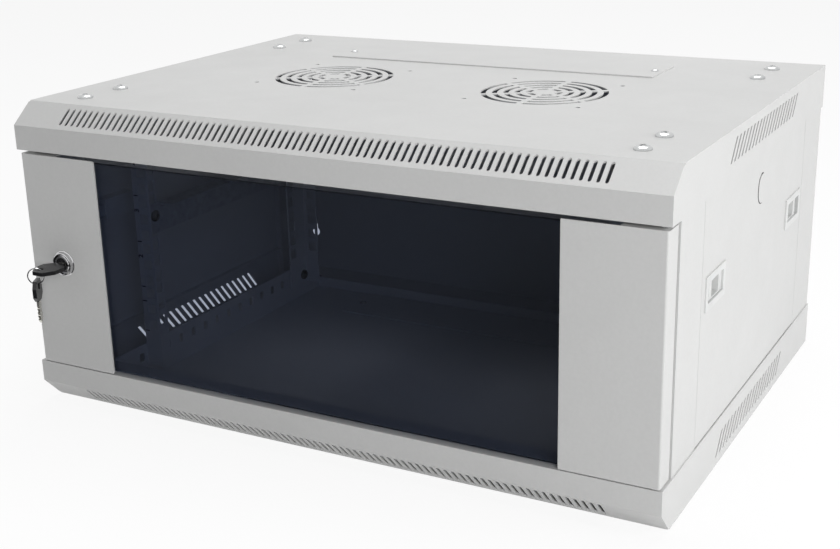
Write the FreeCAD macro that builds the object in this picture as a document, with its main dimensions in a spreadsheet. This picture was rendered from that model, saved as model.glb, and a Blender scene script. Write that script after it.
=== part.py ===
"""A four-unit 19-inch wall mount network cabinet with a glass door."""
import FreeCAD
import Part
import Sketcher
import math
import os

from FreeCAD import Placement, Rotation, Vector

os.makedirs("parts", exist_ok=True)
doc = FreeCAD.newDocument("wall_cabinet")
sheet = doc.addObject("Spreadsheet::Sheet", "Sizes")


class Dim:
    """A length that knows its number and the expression it was worked out from."""

    def __init__(self, number, text=None):
        self.number = float(number)
        self.text = text or repr(self.number)

    def __add__(self, other):
        other = as_dim(other)
        return Dim(self.number + other.number, f"({self.text} + {other.text})")

    def __sub__(self, other):
        other = as_dim(other)
        return Dim(self.number - other.number, f"({self.text} - {other.text})")

    def __mul__(self, other):
        other = as_dim(other)
        return Dim(self.number * other.number, f"({self.text} * {other.text})")

    def __truediv__(self, other):
        other = as_dim(other)
        return Dim(self.number / other.number, f"({self.text} / {other.text})")

    def __radd__(self, other):
        return as_dim(other) + self

    def __rsub__(self, other):
        return as_dim(other) - self

    def __rmul__(self, other):
        return as_dim(other) * self

    def __neg__(self):
        return Dim(-self.number, f"(0 - {self.text})")

    def __float__(self):
        return self.number


def as_dim(thing):
    return thing if isinstance(thing, Dim) else Dim(thing)


def hypotenuse(a, b):
    return Dim(math.hypot(float(a), float(b)), f"sqrt({a.text} * {a.text} + {b.text} * {b.text})")


def cosine(angle):
    return Dim(math.cos(math.radians(float(angle))), f"cos({angle.text})")


def sine(angle):
    return Dim(math.sin(math.radians(float(angle))), f"sin({angle.text})")


def cell(alias, number, meaning):
    """Write one driving dimension into the sheet and hand it back as a Dim."""
    row = cell.row = cell.row + 1
    sheet.set(f"A{row}", meaning)
    sheet.set(f"B{row}", str(number))
    sheet.setAlias(f"B{row}", alias)
    return Dim(number, f"Sizes.{alias}")


cell.row = 0

# Driving dimensions of the case
width = cell("width", 600, "overall width of the case")
depth = cell("depth", 450, "overall depth of the case")
height = cell("height", 280, "overall height of the case")
gauge = cell("gauge", 1.2, "steel sheet of the covers, pillars and back")
skirt = cell("skirt", 40, "height of a cover's side skirt")
roof_run = cell("roof_run", 22, "how far back the top cover's front bevel reaches")
roof_drop = cell("roof_drop", 18, "how far down the top cover's front bevel reaches")
base_run = cell("base_run", 19, "how far back the bottom cover's front bevel reaches")
base_drop = cell("base_drop", 20, "how far up the bottom cover's front bevel reaches")
lip = cell("lip", 30, "depth of the ledge behind a cover's front edge")
lip_return = cell("lip_return", 8, "fold at the end of that ledge")

# Ventilation
slot_margin = cell("slot_margin", 49.5, "end front slots from the case's sides")
slot_pitch = cell("slot_pitch", 6.5, "front slots, one to the next")
slot_width = cell("slot_width", 3, "front slot width")
slot_length = cell("slot_length", 14.6, "front slot length, seen from above")
relief = cell("relief", 1.2, "radius of the relief hole at a cover's front bends")
vent_count = 20
vent_pitch = cell("vent_pitch", 10, "side vents, one to the next")
vent_width = cell("vent_width", 4.2, "side vent width along the case")
vent_rise = cell("vent_rise", 19, "side vent height")
vent_lean = cell("vent_lean", 15, "how far a side vent leans over its height")
vent_edge = cell("vent_edge", 7.8, "side vent to the cover's flat face")
vent_middle = cell("vent_middle", 15, "middle of the side vents behind the case's middle")
fan_offset = cell("fan_offset", 108, "fan grille from the middle of the case")
fan_radius = cell("fan_radius", 56, "outer radius of a fan grille")
fan_slot = cell("fan_slot", 4.6, "width of a ring slot in the grille")
fan_step = cell("fan_step", 10, "ring slots, one to the next")
fan_spoke = cell("fan_spoke", 5, "width of a spoke between the ring slots")
fan_holes = cell("fan_holes", 105, "square of a 120 mm fan's screw holes")
fan_hole = cell("fan_hole", 4.5, "diameter of a fan's screw hole")

# Cable entries, one in the top cover and one in the bottom cover
entry_width = cell("entry_width", 310, "cable entry width")
entry_depth = cell("entry_depth", 46, "cable entry depth")
entry_rear = cell("entry_rear", 95, "cable entry middle in front of the wall")
entry_margin = cell("entry_margin", 8, "overlap of a cable cover in front and behind")
entry_side = cell("entry_side", 17, "overlap of a cable cover at its ends")
entry_screw = cell("entry_screw", 8, "cable cover screw from the end of the cover")

# Front pillars and back panel
pillar_front = cell("pillar_front", 23, "front pillar's face behind the case's front")
pillar_depth = cell("pillar_depth", 56, "front pillar from front to back")
pillar_face = cell("pillar_face", 23, "width of a pillar's front flange")
edge_fold = cell("edge_fold", 7, "folds round the side panels, and of the frame beside them")
back_depth = cell("back_depth", 61, "depth of the back panel's side walls")
back_lip = cell("back_lip", 11, "height of the back panel's fold on the floor")
key_head = cell("key_head", 10, "diameter of a wall keyhole's round end")
key_slot = cell("key_slot", 5.5, "width of a wall keyhole's slot")
key_drop = cell("key_drop", 11, "round end to the slot's end")
key_edge = cell("key_edge", 17, "wall keyholes from the case's sides")
key_low = cell("key_low", 46, "lower keyholes above the base")
key_high = cell("key_high", 58, "upper keyholes below the top")

# Depth rails, rack posts and support rails
rail_gauge = cell("rail_gauge", 1.5, "steel of the rails and posts")
rail_edge = cell("rail_edge", 57, "depth rail's web from the case's side")
rail_foot = cell("rail_foot", 27, "width of a depth rail's foot")
rail_web = cell("rail_web", 36, "height of a depth rail's web")
rail_gap = cell("rail_gap", 2, "depth rail's front end behind the cover's ledge")
rail_hole = cell("rail_hole", 6.5, "width of a depth rail's hole")
rail_hole_tall = cell("rail_hole_tall", 8.5, "height of a depth rail's hole")
rail_pitch = cell("rail_pitch", 20, "depth rail holes, one to the next")
rail_row = cell("rail_row", 25, "depth rail hole row above the base")
rail_end = cell("rail_end", 8, "last hole's middle from a depth rail's rear end, at least")
post_flange = cell("post_flange", 18, "width of a post's front flange")
rack_column = cell("rack_column", 7.55, "column of rack holes from the post's inner edge")
rack_hole = cell("rack_hole", 9.5, "square rack hole")
rack_unit = cell("rack_unit", 44.45, "one rack unit")
rack_edge = cell("rack_edge", 6.35, "unit boundary to the first hole")
rack_step = cell("rack_step", 15.875, "hole to hole within a unit")
rack_units = 4
post_front = cell("post_front", 83, "front posts' face behind the case's front")
post_rear = cell("post_rear", 90, "rear posts' bolts in front of the wall, at least")
post_side = cell("post_side", 32, "width of a post's side flange")
post_end = cell("post_end", 16, "post end above the base")
post_column = cell("post_column", 24.5, "side holes behind the post's face")
post_shift = cell("post_shift", 3.7, "side holes below the rack holes")
support_web = cell("support_web", 29, "height of a support rail's web")
support_ledge = cell("support_ledge", 19, "width of a support rail's ledge")
support_over = cell("support_over", 12, "ledge above the bolts' line")
support_end = cell("support_end", 7.5, "support rail past its bolts")
support_notch = cell("support_notch", 12, "ledge cut back at its ends")

# Door
door_gap = cell("door_gap", 1, "door to the bottom cover")
door_head_gap = cell("door_head_gap", 3, "door to the top cover")
door_left_in = cell("door_left_in", 4, "door's left edge from the case's side")
door_right_in = cell("door_right_in", 2, "door's right edge from the case's side")
strip_left = cell("strip_left", 82, "width of the lock side strip")
strip_right = cell("strip_right", 80, "width of the hinge side strip")
strip_deep = cell("strip_deep", 21.5, "depth of a strip's outer flange")
strip_fold = cell("strip_fold", 12, "width of the fold behind the outer flange")
strip_bend = cell("strip_bend", 2, "outside radius of the strip's bends")
strip_ear = cell("strip_ear", 36, "width of a strip's end plates")
glass_thick = cell("glass_thick", 4, "glass")
glass_lap = cell("glass_lap", 25, "glass behind each strip")
glass_short = cell("glass_short", 2.5, "glass short of the strips' ends")
tape_thick = cell("tape_thick", 1, "tape between glass and strip")
tape_wide = cell("tape_wide", 22, "width of the tape")

# Hinge
pin_in = cell("pin_in", 6, "hinge axis from the door's right edge")
pin_back = cell("pin_back", 9.5, "hinge axis behind the case's front")
pin_radius = cell("pin_radius", 3, "hinge pin radius")
pin_play = cell("pin_play", 0.05, "hinge pin clearance, on the radius")
pin_up = cell("pin_up", 12, "lower pin above its ledge")
pin_grip = cell("pin_grip", 7, "upper pin above its ledge's underside")
collar_radius = cell("collar_radius", 4.3, "collar on the upper pin")
collar_tall = cell("collar_tall", 2.2, "height of that collar")
spring_tall = cell("spring_tall", 34, "length of the pin's spring")
spring_wire = cell("spring_wire", 0.9, "wire of the pin's spring")
spring_turns = 7
washer_radius = cell("washer_radius", 5.5, "hinge washer radius")
washer_thick = cell("washer_thick", 0.9, "hinge washer thickness")
tail_long = cell("tail_long", 14, "finger tail of the upper pin")
tail_radius = cell("tail_radius", 1.6, "radius of that finger tail")
tail_drop = cell("tail_drop", 12, "finger tail below the spring's bracket")
pin_head = cell("pin_head", 5, "radius of the lower pin's head")
pin_head_thick = cell("pin_head_thick", 1.5, "thickness of the lower pin's head")
bracket_gauge = cell("bracket_gauge", 1.5, "steel of the spring's bracket")
bracket_wide = cell("bracket_wide", 9, "width of the spring's bracket")
bracket_deep = cell("bracket_deep", 14, "depth of the spring's bracket")
bracket_tall = cell("bracket_tall", 11, "height of the spring's bracket")

# Lock and keys
lock_in = cell("lock_in", 38, "lock axis from the door's left edge")
rosette_radius = cell("rosette_radius", 9.5, "lock rosette radius")
rosette_proud = cell("rosette_proud", 4, "lock rosette in front of the door")
barrel_radius = cell("barrel_radius", 7.9, "lock barrel radius")
barrel_hole = cell("barrel_hole", 16, "hole for the lock in the strip")
barrel_long = cell("barrel_long", 21, "lock barrel behind the door's face")
plug_radius = cell("plug_radius", 6, "lock plug radius")
plug_play = cell("plug_play", 0.06, "plug clearance, on the radius")
plug_sink = cell("plug_sink", 0.8, "plug face behind the rosette's face")
plug_tail = cell("plug_tail", 6, "width of the plug's square tail in the cam")
lock_nut_thick = cell("lock_nut_thick", 4, "lock nut thickness")
lock_nut_across = cell("lock_nut_across", 22, "lock nut across its flats")
cam_screw_head = cell("cam_screw_head", 4.2, "cam screw head radius")
cam_screw_tall = cell("cam_screw_tall", 2.4, "cam screw head thickness")
cam_screw_radius = cell("cam_screw_radius", 1.5, "cam screw radius")
cam_screw_long = cell("cam_screw_long", 8, "cam screw below its head")
cam_gap = cell("cam_gap", 0.8, "cam behind the pillar's flange")
cam_thick = cell("cam_thick", 2, "lock cam thickness")
cam_reach = cell("cam_reach", 30, "lock cam from the axis to its end")
cam_width = cell("cam_width", 15, "lock cam width")
blade_thick = cell("blade_thick", 2, "key blade thickness")
blade_width = cell("blade_width", 7, "key blade width")
blade_long = cell("blade_long", 21, "key blade beyond its bow")
blade_play = cell("blade_play", 0.15, "key blade in the keyway, all round")
blade_first = cell("blade_first", 5, "first cut in a key blade from its bow")
blade_pitch = cell("blade_pitch", 3.2, "cuts in a key blade, one to the next")
blade_cut = cell("blade_cut", 0.7, "depth of the shallow cuts in a key blade")
blade_cuts = 4
bow_stand = cell("bow_stand", 2.5, "key bow in front of the rosette")
bow_long = cell("bow_long", 28, "key bow length")
bow_half = cell("bow_half", 12, "half the key bow's width")
bow_neck = cell("bow_neck", 4.5, "half the key bow's width at its neck")
bow_tip = cell("bow_tip", 5.5, "half the key bow's width at its tip")
bow_thick = cell("bow_thick", 3.4, "key bow thickness")
ring_radius = cell("ring_radius", 7.2, "key ring radius, to the wire's middle")
ring_wire = cell("ring_wire", 0.6, "key ring wire radius")
ring_hole = cell("ring_hole", 3, "radius of a key bow's hole")
ring_web = cell("ring_web", 3, "bow material between its hole and its edge")
ring_play = cell("ring_play", 0.35, "key ring clearance in the bows")
ring_turn = cell("ring_turn", 28.9, "the ring's plane from the door's plane, in degrees")
spare_long = cell("spare_long", 19, "spare key bow length")
spare_half = cell("spare_half", 9.5, "half the spare key bow's width")

# Side panels and their slide latches
panel_gap = cell("panel_gap", 0.5, "side panel to the frame, all round")
panel_gauge = cell("panel_gauge", 1, "side panel sheet")
latch_rise = cell("latch_rise", 23, "middle of the latches above the case's middle")
latch_inset = cell("latch_inset", 8.5, "latch frame from the panel's end")
latch_long = cell("latch_long", 50, "latch frame length")
latch_tall = cell("latch_tall", 28, "latch frame height")
latch_rim = cell("latch_rim", 4, "latch frame past its body")
latch_wall = cell("latch_wall", 1.5, "latch body wall")
latch_play = cell("latch_play", 0.3, "slider clearance in its body")
slider_long = cell("slider_long", 32, "latch slider length")
grip_long = cell("grip_long", 16, "finger recess length")
grip_deep = cell("grip_deep", 6, "finger recess depth")
grip_inset = cell("grip_inset", 2, "finger recess from the slider's bolt end")
grip_rim = cell("grip_rim", 1.2, "slider rim above and below the recess")
bolt_thick = cell("bolt_thick", 2.5, "latch bolt thickness")
bolt_tall = cell("bolt_tall", 11, "latch bolt height")
bolt_back = cell("bolt_back", 2.2, "drawn bolt short of the panel's end")
bolt_clear = cell("bolt_clear", 1.8, "latch bolt behind the folds that it hooks on")
knockout_wide = cell("knockout_wide", 21, "lock knockout width")
knockout_tall = cell("knockout_tall", 25, "lock knockout height")
knockout_drop = cell("knockout_drop", 70, "lock knockout below the top")
knockout_proud = cell("knockout_proud", 0.5, "lock knockout in front of the panel")

# Fasteners
cover_screw = cell("cover_screw", 5, "cover screw diameter")
cover_head = cell("cover_head", 14, "cover screw head diameter")
cover_head_tall = cell("cover_head_tall", 3.6, "cover screw head height")
screw_edge = cell("screw_edge", 40, "cover screws from the case's sides")
screw_front = cell("screw_front", 50, "first cover screw behind the front")
screw_second = cell("screw_second", 97, "second cover screw behind the front")
screw_third = cell("screw_third", 93, "third cover screw in front of the wall")
screw_rear = cell("screw_rear", 42, "last cover screw in front of the wall")
screw_long = cell("screw_long", 8, "cover screw below its head")
post_bolt = cell("post_bolt", 6, "post bolt diameter")
post_bolt_head = cell("post_bolt_head", 11, "post bolt head diameter")
post_bolt_tall = cell("post_bolt_tall", 3.6, "post bolt head height")
post_nut = cell("post_nut", 4.5, "post nut height")
nut_across = cell("nut_across", 10, "post nut across its flats")
front_bolt_in = cell("front_bolt_in", 12, "front post bolts behind the post's face")
rear_bolt_in = cell("rear_bolt_in", 7.5, "rear post bolts in front of the post's face")
small_screw = cell("small_screw", 3, "cable cover screw diameter")
small_head = cell("small_head", 7.5, "cable cover screw head diameter")
small_head_tall = cell("small_head_tall", 2, "cable cover screw head height")
screw_play = cell("screw_play", 0.1, "cover screw in its hole, on the radius")
bolt_play = cell("bolt_play", 0.2, "post bolt in its hole, on the radius")

doc.recompute()

# Places that several pieces share
half = width / 2
front = -(depth / 2)
rear = depth / 2
inside = half - gauge
middle_height = height / 2
back_front = rear - gauge - back_depth
slot_count = int(float(width - slot_margin * 2) / float(slot_pitch)) + 1
screw_across = width - screw_edge * 2
screw_places = [front + screw_front, front + screw_second, rear - screw_third, rear - screw_rear]
entry_middle = rear - entry_rear
entry_screw_x = entry_width / 2 + entry_side - entry_screw
key_across = width - key_edge * 2
rail_face = half - rail_edge
rack_opening = (rail_face - post_flange) * 2
rack_span = rack_opening + rack_column * 2
post_face = front + post_front
bolt_front = post_face + front_bolt_in
rail_first = bolt_front - rail_pitch
rail_hole_count = int(float(back_front - rail_end - rail_first) / float(rail_pitch)) + 1
post_steps = int(float(rear - post_rear - bolt_front) / float(rail_pitch))
bolt_rear = bolt_front + rail_pitch * post_steps
post_back = bolt_rear + rear_bolt_in
post_corner = rail_face - rail_gauge
door_left = half - door_left_in
door_right = half - door_right_in
latch_middle = middle_height + latch_rise
knockout_middle = height - knockout_drop
panel_front = front + pillar_front + pillar_depth + panel_gap
panel_rear = rear - gauge - back_depth - panel_gap
door_low = skirt + door_gap
door_high = height - skirt - door_head_gap
hinge_x = door_right - pin_in
hinge_y = front + pin_back
lock_x = lock_in - door_left
lock_z = middle_height
bow_front = front - rosette_proud - bow_stand
cam_front = front + pillar_front + gauge + cam_gap
cam_back = cam_front + cam_thick
ledge_top = skirt
roof_ledge = height - skirt
collar_top = door_high - gauge - 0.3
spring_top = collar_top - collar_tall
spring_low = spring_top - spring_tall


pieces = []


def origin_plane(body, role):
    for feature in body.Origin.OriginFeatures:
        if feature.Role == role:
            return feature
    raise ValueError(role)


def new_body(name):
    body = doc.addObject("PartDesign::Body", name)
    body.Label = name
    pieces.append(body)
    return body


def new_sketch(body, plane, offset=None):
    """A sketch on one of the body's own planes, moved along that plane's normal."""
    sketch = body.newObject("Sketcher::SketchObject", f"{body.Label}_sketch")
    sketch.AttachmentSupport = (origin_plane(body, plane), [""])
    sketch.MapMode = "FlatFace"
    if offset is not None:
        sketch.setExpression(".AttachmentOffset.Base.z", as_dim(offset).text)
    return sketch


def fix(sketch, kind, geometry, corner, place):
    """Tie one coordinate of a corner of a line, or of the middle of a circle, to the sheet."""
    place = as_dim(place)
    index = sketch.addConstraint(Sketcher.Constraint(kind, -1, 1, geometry, corner, place.number))
    sketch.setExpression(f"Constraints[{index}]", place.text)


def place_point(sketch, geometry, corner, x, y):
    fix(sketch, "DistanceX", geometry, corner, x)
    fix(sketch, "DistanceY", geometry, corner, y)


def add_outline(sketch, points):
    """A closed outline of straight lines through points given as pairs of Dims."""
    spots = [Vector(float(x), float(y), 0) for x, y in points]
    lines = []
    for here, there in zip(spots, spots[1:] + spots[:1]):
        lines.append(sketch.addGeometry(Part.LineSegment(here, there), False))
    for line, following in zip(lines, lines[1:] + lines[:1]):
        sketch.addConstraint(Sketcher.Constraint("Coincident", line, 2, following, 1))
    for line, (x, y) in zip(lines, points):
        place_point(sketch, line, 1, x, y)


def add_box(sketch, left, right, low, high):
    add_outline(sketch, [(left, low), (right, low), (right, high), (left, high)])


def add_circle(sketch, x, y, radius):
    spot = Vector(float(x), float(y), 0)
    circle = sketch.addGeometry(Part.Circle(spot, Vector(0, 0, 1), float(radius)), False)
    place_point(sketch, circle, 3, x, y)
    index = sketch.addConstraint(Sketcher.Constraint("Radius", circle, float(radius)))
    sketch.setExpression(f"Constraints[{index}]", as_dim(radius).text)


def add_many_sided(sketch, x, y, radius, sides, around=False):
    """A polygon with its corners on a circle, or with its flats on it where around is set."""
    reach = radius / math.cos(math.pi / sides) if around else as_dim(radius)
    points = []
    for step in range(sides):
        angle = 2 * math.pi * step / sides
        points.append((x + reach * math.cos(angle), y + reach * math.sin(angle)))
    add_outline(sketch, points)


def add_screw_hole(sketch, x, y, radius):
    add_many_sided(sketch, x, y, radius, 8, around=True)


def add_slot(sketch, x, low, high, radius):
    """An upright slot with round ends, from low to high, ends included."""
    radius = as_dim(radius)
    bottom = Vector(float(x), float(low + radius), 0)
    top = Vector(float(x), float(high - radius), 0)
    side = Vector(float(radius), 0, 0)
    up = Vector(0, float(radius), 0)
    shapes = [
        Part.Arc(bottom - side, bottom - up, bottom + side),
        Part.LineSegment(bottom + side, top + side),
        Part.Arc(top + side, top + up, top - side),
        Part.LineSegment(top - side, bottom - side),
    ]
    arc, right, cap, left = [sketch.addGeometry(shape, False) for shape in shapes]
    for one, end, other, start in (
        (arc, 2, right, 1), (right, 2, cap, 1), (cap, 2, left, 1), (left, 2, arc, 1),
    ):
        sketch.addConstraint(Sketcher.Constraint("Coincident", one, end, other, start))
    place_point(sketch, arc, 3, x, low + radius)
    place_point(sketch, cap, 3, x, high - radius)
    place_point(sketch, right, 1, x + radius, low + radius)
    place_point(sketch, right, 2, x + radius, high - radius)
    fix(sketch, "DistanceY", left, 2, low + radius)
    fix(sketch, "DistanceY", left, 1, high - radius)


def pad(body, sketch, length, middle=False, back=False):
    feature = body.newObject("PartDesign::Pad", f"{body.Label}_pad")
    feature.Profile = sketch
    feature.setExpression("Length", as_dim(length).text)
    feature.Midplane = middle
    feature.Reversed = back
    body.Tip = feature
    return feature


def pocket(body, sketch, length, middle=False, back=False):
    """Cut along the sketch's normal reversed, or along it when back is set."""
    feature = body.newObject("PartDesign::Pocket", f"{body.Label}_pocket")
    feature.Profile = sketch
    feature.setExpression("Length", as_dim(length).text)
    feature.Midplane = middle
    feature.Reversed = back
    feature.Refine = False
    body.Tip = feature
    cuts.append((body, feature))
    return feature


cuts = []


def repeat(body, feature, axis, pitch, count):
    """Copies of a cut in a row along one of the body's own axes."""
    row = body.newObject("PartDesign::LinearPattern", f"{body.Label}_row")
    row.Originals = [feature]
    row.Direction = (origin_plane(body, axis), [""])
    row.setExpression("Length", (as_dim(pitch) * (count - 1)).text)
    row.Occurrences = count
    row.Refine = False
    body.Tip = row
    return row


def from_top(t):
    """The height of a place that lies t below the top of the case."""
    return height - t


def from_base(t):
    return as_dim(t) + 0


bolt_line_z = middle_height + rack_edge + rack_step - post_shift
pillar_rear = front + pillar_front + pillar_depth
slider_inner = inside - edge_fold - bolt_clear - bolt_thick
slider_outer = inside - latch_play
latch_deep = inside - slider_inner + latch_play + latch_wall


# Covers
def add_fan_grille(body, middle):
    """Ring slots cut in the roof, then three bars put back across them."""
    rings = new_sketch(body, "XY_Plane", height)
    rings.setExpression(".AttachmentOffset.Base.x", middle.text)
    for ring in range(5):
        outer = fan_radius - fan_step * ring
        for radius in (outer, outer - fan_slot):
            add_circle(rings, 0, 0, radius)
    for x in (-1, 1):
        for y in (-1, 1):
            add_circle(rings, x * fan_holes / 2, y * fan_holes / 2, fan_hole / 2)
    pocket(body, rings, gauge)
    bar = new_sketch(body, "XY_Plane", height)
    bar.setExpression(".AttachmentOffset.Base.x", middle.text)
    add_box(bar, -(fan_spoke / 2), fan_spoke / 2, -fan_radius - 1, fan_radius + 1)
    feature = pad(body, bar, gauge, back=True)
    spokes = body.newObject("PartDesign::PolarPattern", "fan_spokes")
    spokes.Originals = [feature]
    spokes.Axis = (bar, ["N_Axis"])
    spokes.Angle = 360
    spokes.Occurrences = 6
    body.Tip = spokes


def make_cover(name, level, run, drop, upper):
    """A folded sheet cover. level(t) is the height of a place t inwards from its flat face."""
    body = new_body(name)
    body.AllowCompound = True
    slope = hypotenuse(run, drop)
    outer = new_sketch(body, "YZ_Plane")
    add_outline(outer, [
        (front, level(skirt)),
        (front, level(drop)),
        (front + run, level(0)),
        (rear, level(0)),
        (rear, level(skirt)),
    ])
    pad(body, outer, width, middle=True)
    hollow = new_sketch(body, "YZ_Plane")
    add_outline(hollow, [
        (front + gauge, level(skirt - gauge)),
        (front + gauge, level(drop + gauge * (slope - drop) / run)),
        (front + run + gauge * (slope - run) / drop, level(gauge)),
        (rear - gauge, level(gauge)),
        (rear - gauge, level(skirt)),
        (front + lip, level(skirt)),
        (front + lip, level(skirt - lip_return)),
        (front + lip - gauge, level(skirt - lip_return)),
        (front + lip - gauge, level(skirt - gauge)),
    ])
    pocket(body, hollow, width - gauge * 2, middle=True)

    corners = new_sketch(body, "XY_Plane", level(skirt))
    for side in (-1, 1):
        add_box(corners, side * (inside - pillar_face), side * inside,
                front + pillar_front, front + lip)
    pocket(body, corners, lip_return, back=upper)

    pin_hole = new_sketch(body, "XY_Plane", level(skirt))
    add_circle(pin_hole, hinge_x, hinge_y, pin_radius + pin_play)
    pocket(body, pin_hole, gauge, back=upper)

    entry = new_sketch(body, "XY_Plane", level(0))
    add_box(entry, -(entry_width / 2), entry_width / 2,
            entry_middle - entry_depth / 2, entry_middle + entry_depth / 2)
    pocket(body, entry, gauge, back=not upper)
    for side in (-1, 1):
        holes = new_sketch(body, "XY_Plane", level(0))
        for place in screw_places:
            add_screw_hole(holes, side * screw_across / 2, place, cover_screw / 2 + screw_play)
        add_screw_hole(holes, side * entry_screw_x, entry_middle, small_screw / 2 + screw_play)
        pocket(body, holes, gauge, back=not upper)
    reliefs = new_sketch(body, "XY_Plane", level(0))
    for side in (-1, 1):
        add_screw_hole(reliefs, side * half, front + run, relief)
    pocket(body, reliefs, gauge, back=not upper)
    if upper:
        for side in (-1, 1):
            add_fan_grille(body, side * fan_offset)

    slot = new_sketch(body, "XY_Plane", level(0))
    middle = front + run / 2
    first = -(slot_pitch * (slot_count - 1) / 2)
    flat = slot_width / 2 * math.tan(math.radians(22.5))
    end = slot_length / 2 - slot_width / 2 + flat
    add_outline(slot, [
        (first + x, middle + y) for x, y in (
            (-flat, -(slot_length / 2)), (flat, -(slot_length / 2)),
            (slot_width / 2, -end), (slot_width / 2, end),
            (flat, slot_length / 2), (-flat, slot_length / 2),
            (-(slot_width / 2), end), (-(slot_width / 2), -end),
        )
    ])
    repeat(body, pocket(body, slot, drop, back=not upper), "X_Axis", slot_pitch, slot_count)

    first = vent_middle - vent_pitch * (vent_count - 1) / 2
    low, high = level(vent_edge), level(vent_edge + vent_rise)
    if upper:
        low, high = high, low
    for side in (-1, 1):
        vent = new_sketch(body, "YZ_Plane", side * half)
        bottom = first - vent_width / 2 - side * vent_lean / 2
        top = first - vent_width / 2 + side * vent_lean / 2
        add_outline(vent, [
            (bottom, low), (bottom + vent_width, low), (top + vent_width, high), (top, high),
        ])
        cut = pocket(body, vent, gauge, back=side < 0)
        repeat(body, cut, "Y_Axis", vent_pitch, vent_count)


make_cover("top_cover", from_top, roof_run, roof_drop, True)
make_cover("bottom_cover", from_base, base_run, base_drop, False)


def make_cable_cover(name, low):
    body = new_body(name)
    plate = new_sketch(body, "XY_Plane", low)
    add_box(plate, -(entry_width / 2) - entry_side, entry_width / 2 + entry_side,
            entry_middle - entry_depth / 2 - entry_margin, entry_middle + entry_depth / 2 + entry_margin)
    for side in (-1, 1):
        add_screw_hole(plate, side * entry_screw_x, entry_middle, small_screw / 2 + screw_play)
    pad(body, plate, gauge)


make_cable_cover("top_cable_cover", height)
make_cable_cover("bottom_cable_cover", gauge)


# Back panel, a tray with folded front edges
def make_back_panel():
    body = new_body("back_panel")
    outer = new_sketch(body, "XZ_Plane", -(rear - gauge))
    add_box(outer, -inside, inside, gauge, height - gauge)
    pad(body, outer, back_depth)
    hollow = new_sketch(body, "XZ_Plane", -(back_front + gauge))
    add_box(hollow, -(inside - gauge), inside - gauge, gauge * 2, height - gauge * 2)
    pocket(body, hollow, back_depth - gauge * 2)
    mouth = new_sketch(body, "XZ_Plane", -back_front)
    add_box(mouth, -(inside - edge_fold), inside - edge_fold,
            gauge + back_lip, height - gauge - back_lip)
    pocket(body, mouth, gauge)
    heads = new_sketch(body, "XZ_Plane", -(rear - gauge))
    slots = new_sketch(body, "XZ_Plane", -(rear - gauge))
    for side in (-1, 1):
        for z in (key_low, height - key_high):
            x = side * key_across / 2
            add_circle(heads, x, z, key_head / 2)
            add_slot(slots, x, z - key_slot / 2, z + key_drop, key_slot / 2)
    pocket(body, heads, gauge, back=True)
    pocket(body, slots, gauge, back=True)
    for low, upwards in ((gauge, True), (height - gauge, False)):
        holes = new_sketch(body, "XY_Plane", low)
        for side in (-1, 1):
            add_screw_hole(holes, side * screw_across / 2, screw_places[-1],
                           cover_screw / 2 + screw_play)
        pocket(body, holes, gauge, back=upwards)


make_back_panel()


# Front pillars
def make_pillar(name, side):
    body = new_body(name)
    profile = new_sketch(body, "XY_Plane", gauge)
    near = front + pillar_front
    add_outline(profile, [
        (side * inside, near),
        (side * (inside - pillar_face), near),
        (side * (inside - pillar_face), near + gauge),
        (side * (inside - gauge), near + gauge),
        (side * (inside - gauge), pillar_rear - gauge),
        (side * (inside - edge_fold), pillar_rear - gauge),
        (side * (inside - edge_fold), pillar_rear),
        (side * inside, pillar_rear),
    ])
    pad(body, profile, height - gauge * 2)


# Depth rails, each with a foot screwed to a cover
def make_rail(name, side, level, upper):
    body = new_body(name)
    start = front + lip + rail_gap
    profile = new_sketch(body, "XZ_Plane", -start)
    add_outline(profile, [
        (side * rail_face, level(gauge)),
        (side * (rail_face + rail_foot), level(gauge)),
        (side * (rail_face + rail_foot), level(gauge + rail_gauge)),
        (side * (rail_face + rail_gauge), level(gauge + rail_gauge)),
        (side * (rail_face + rail_gauge), level(gauge + rail_web)),
        (side * rail_face, level(gauge + rail_web)),
    ])
    pad(body, profile, back_front - start, back=True)
    hole = new_sketch(body, "YZ_Plane", side * rail_face)
    row = level(rail_row)
    add_box(hole, rail_first - rail_hole / 2, rail_first + rail_hole / 2,
            row - rail_hole_tall / 2, row + rail_hole_tall / 2)
    cut = pocket(body, hole, rail_gauge, back=side > 0)
    repeat(body, cut, "Y_Axis", rail_pitch, rail_hole_count)
    feet = new_sketch(body, "XY_Plane", level(gauge))
    for place in screw_places[:-1]:
        add_screw_hole(feet, side * screw_across / 2, place, cover_screw / 2 + screw_play)
    pocket(body, feet, rail_gauge, back=not upper)


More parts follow.
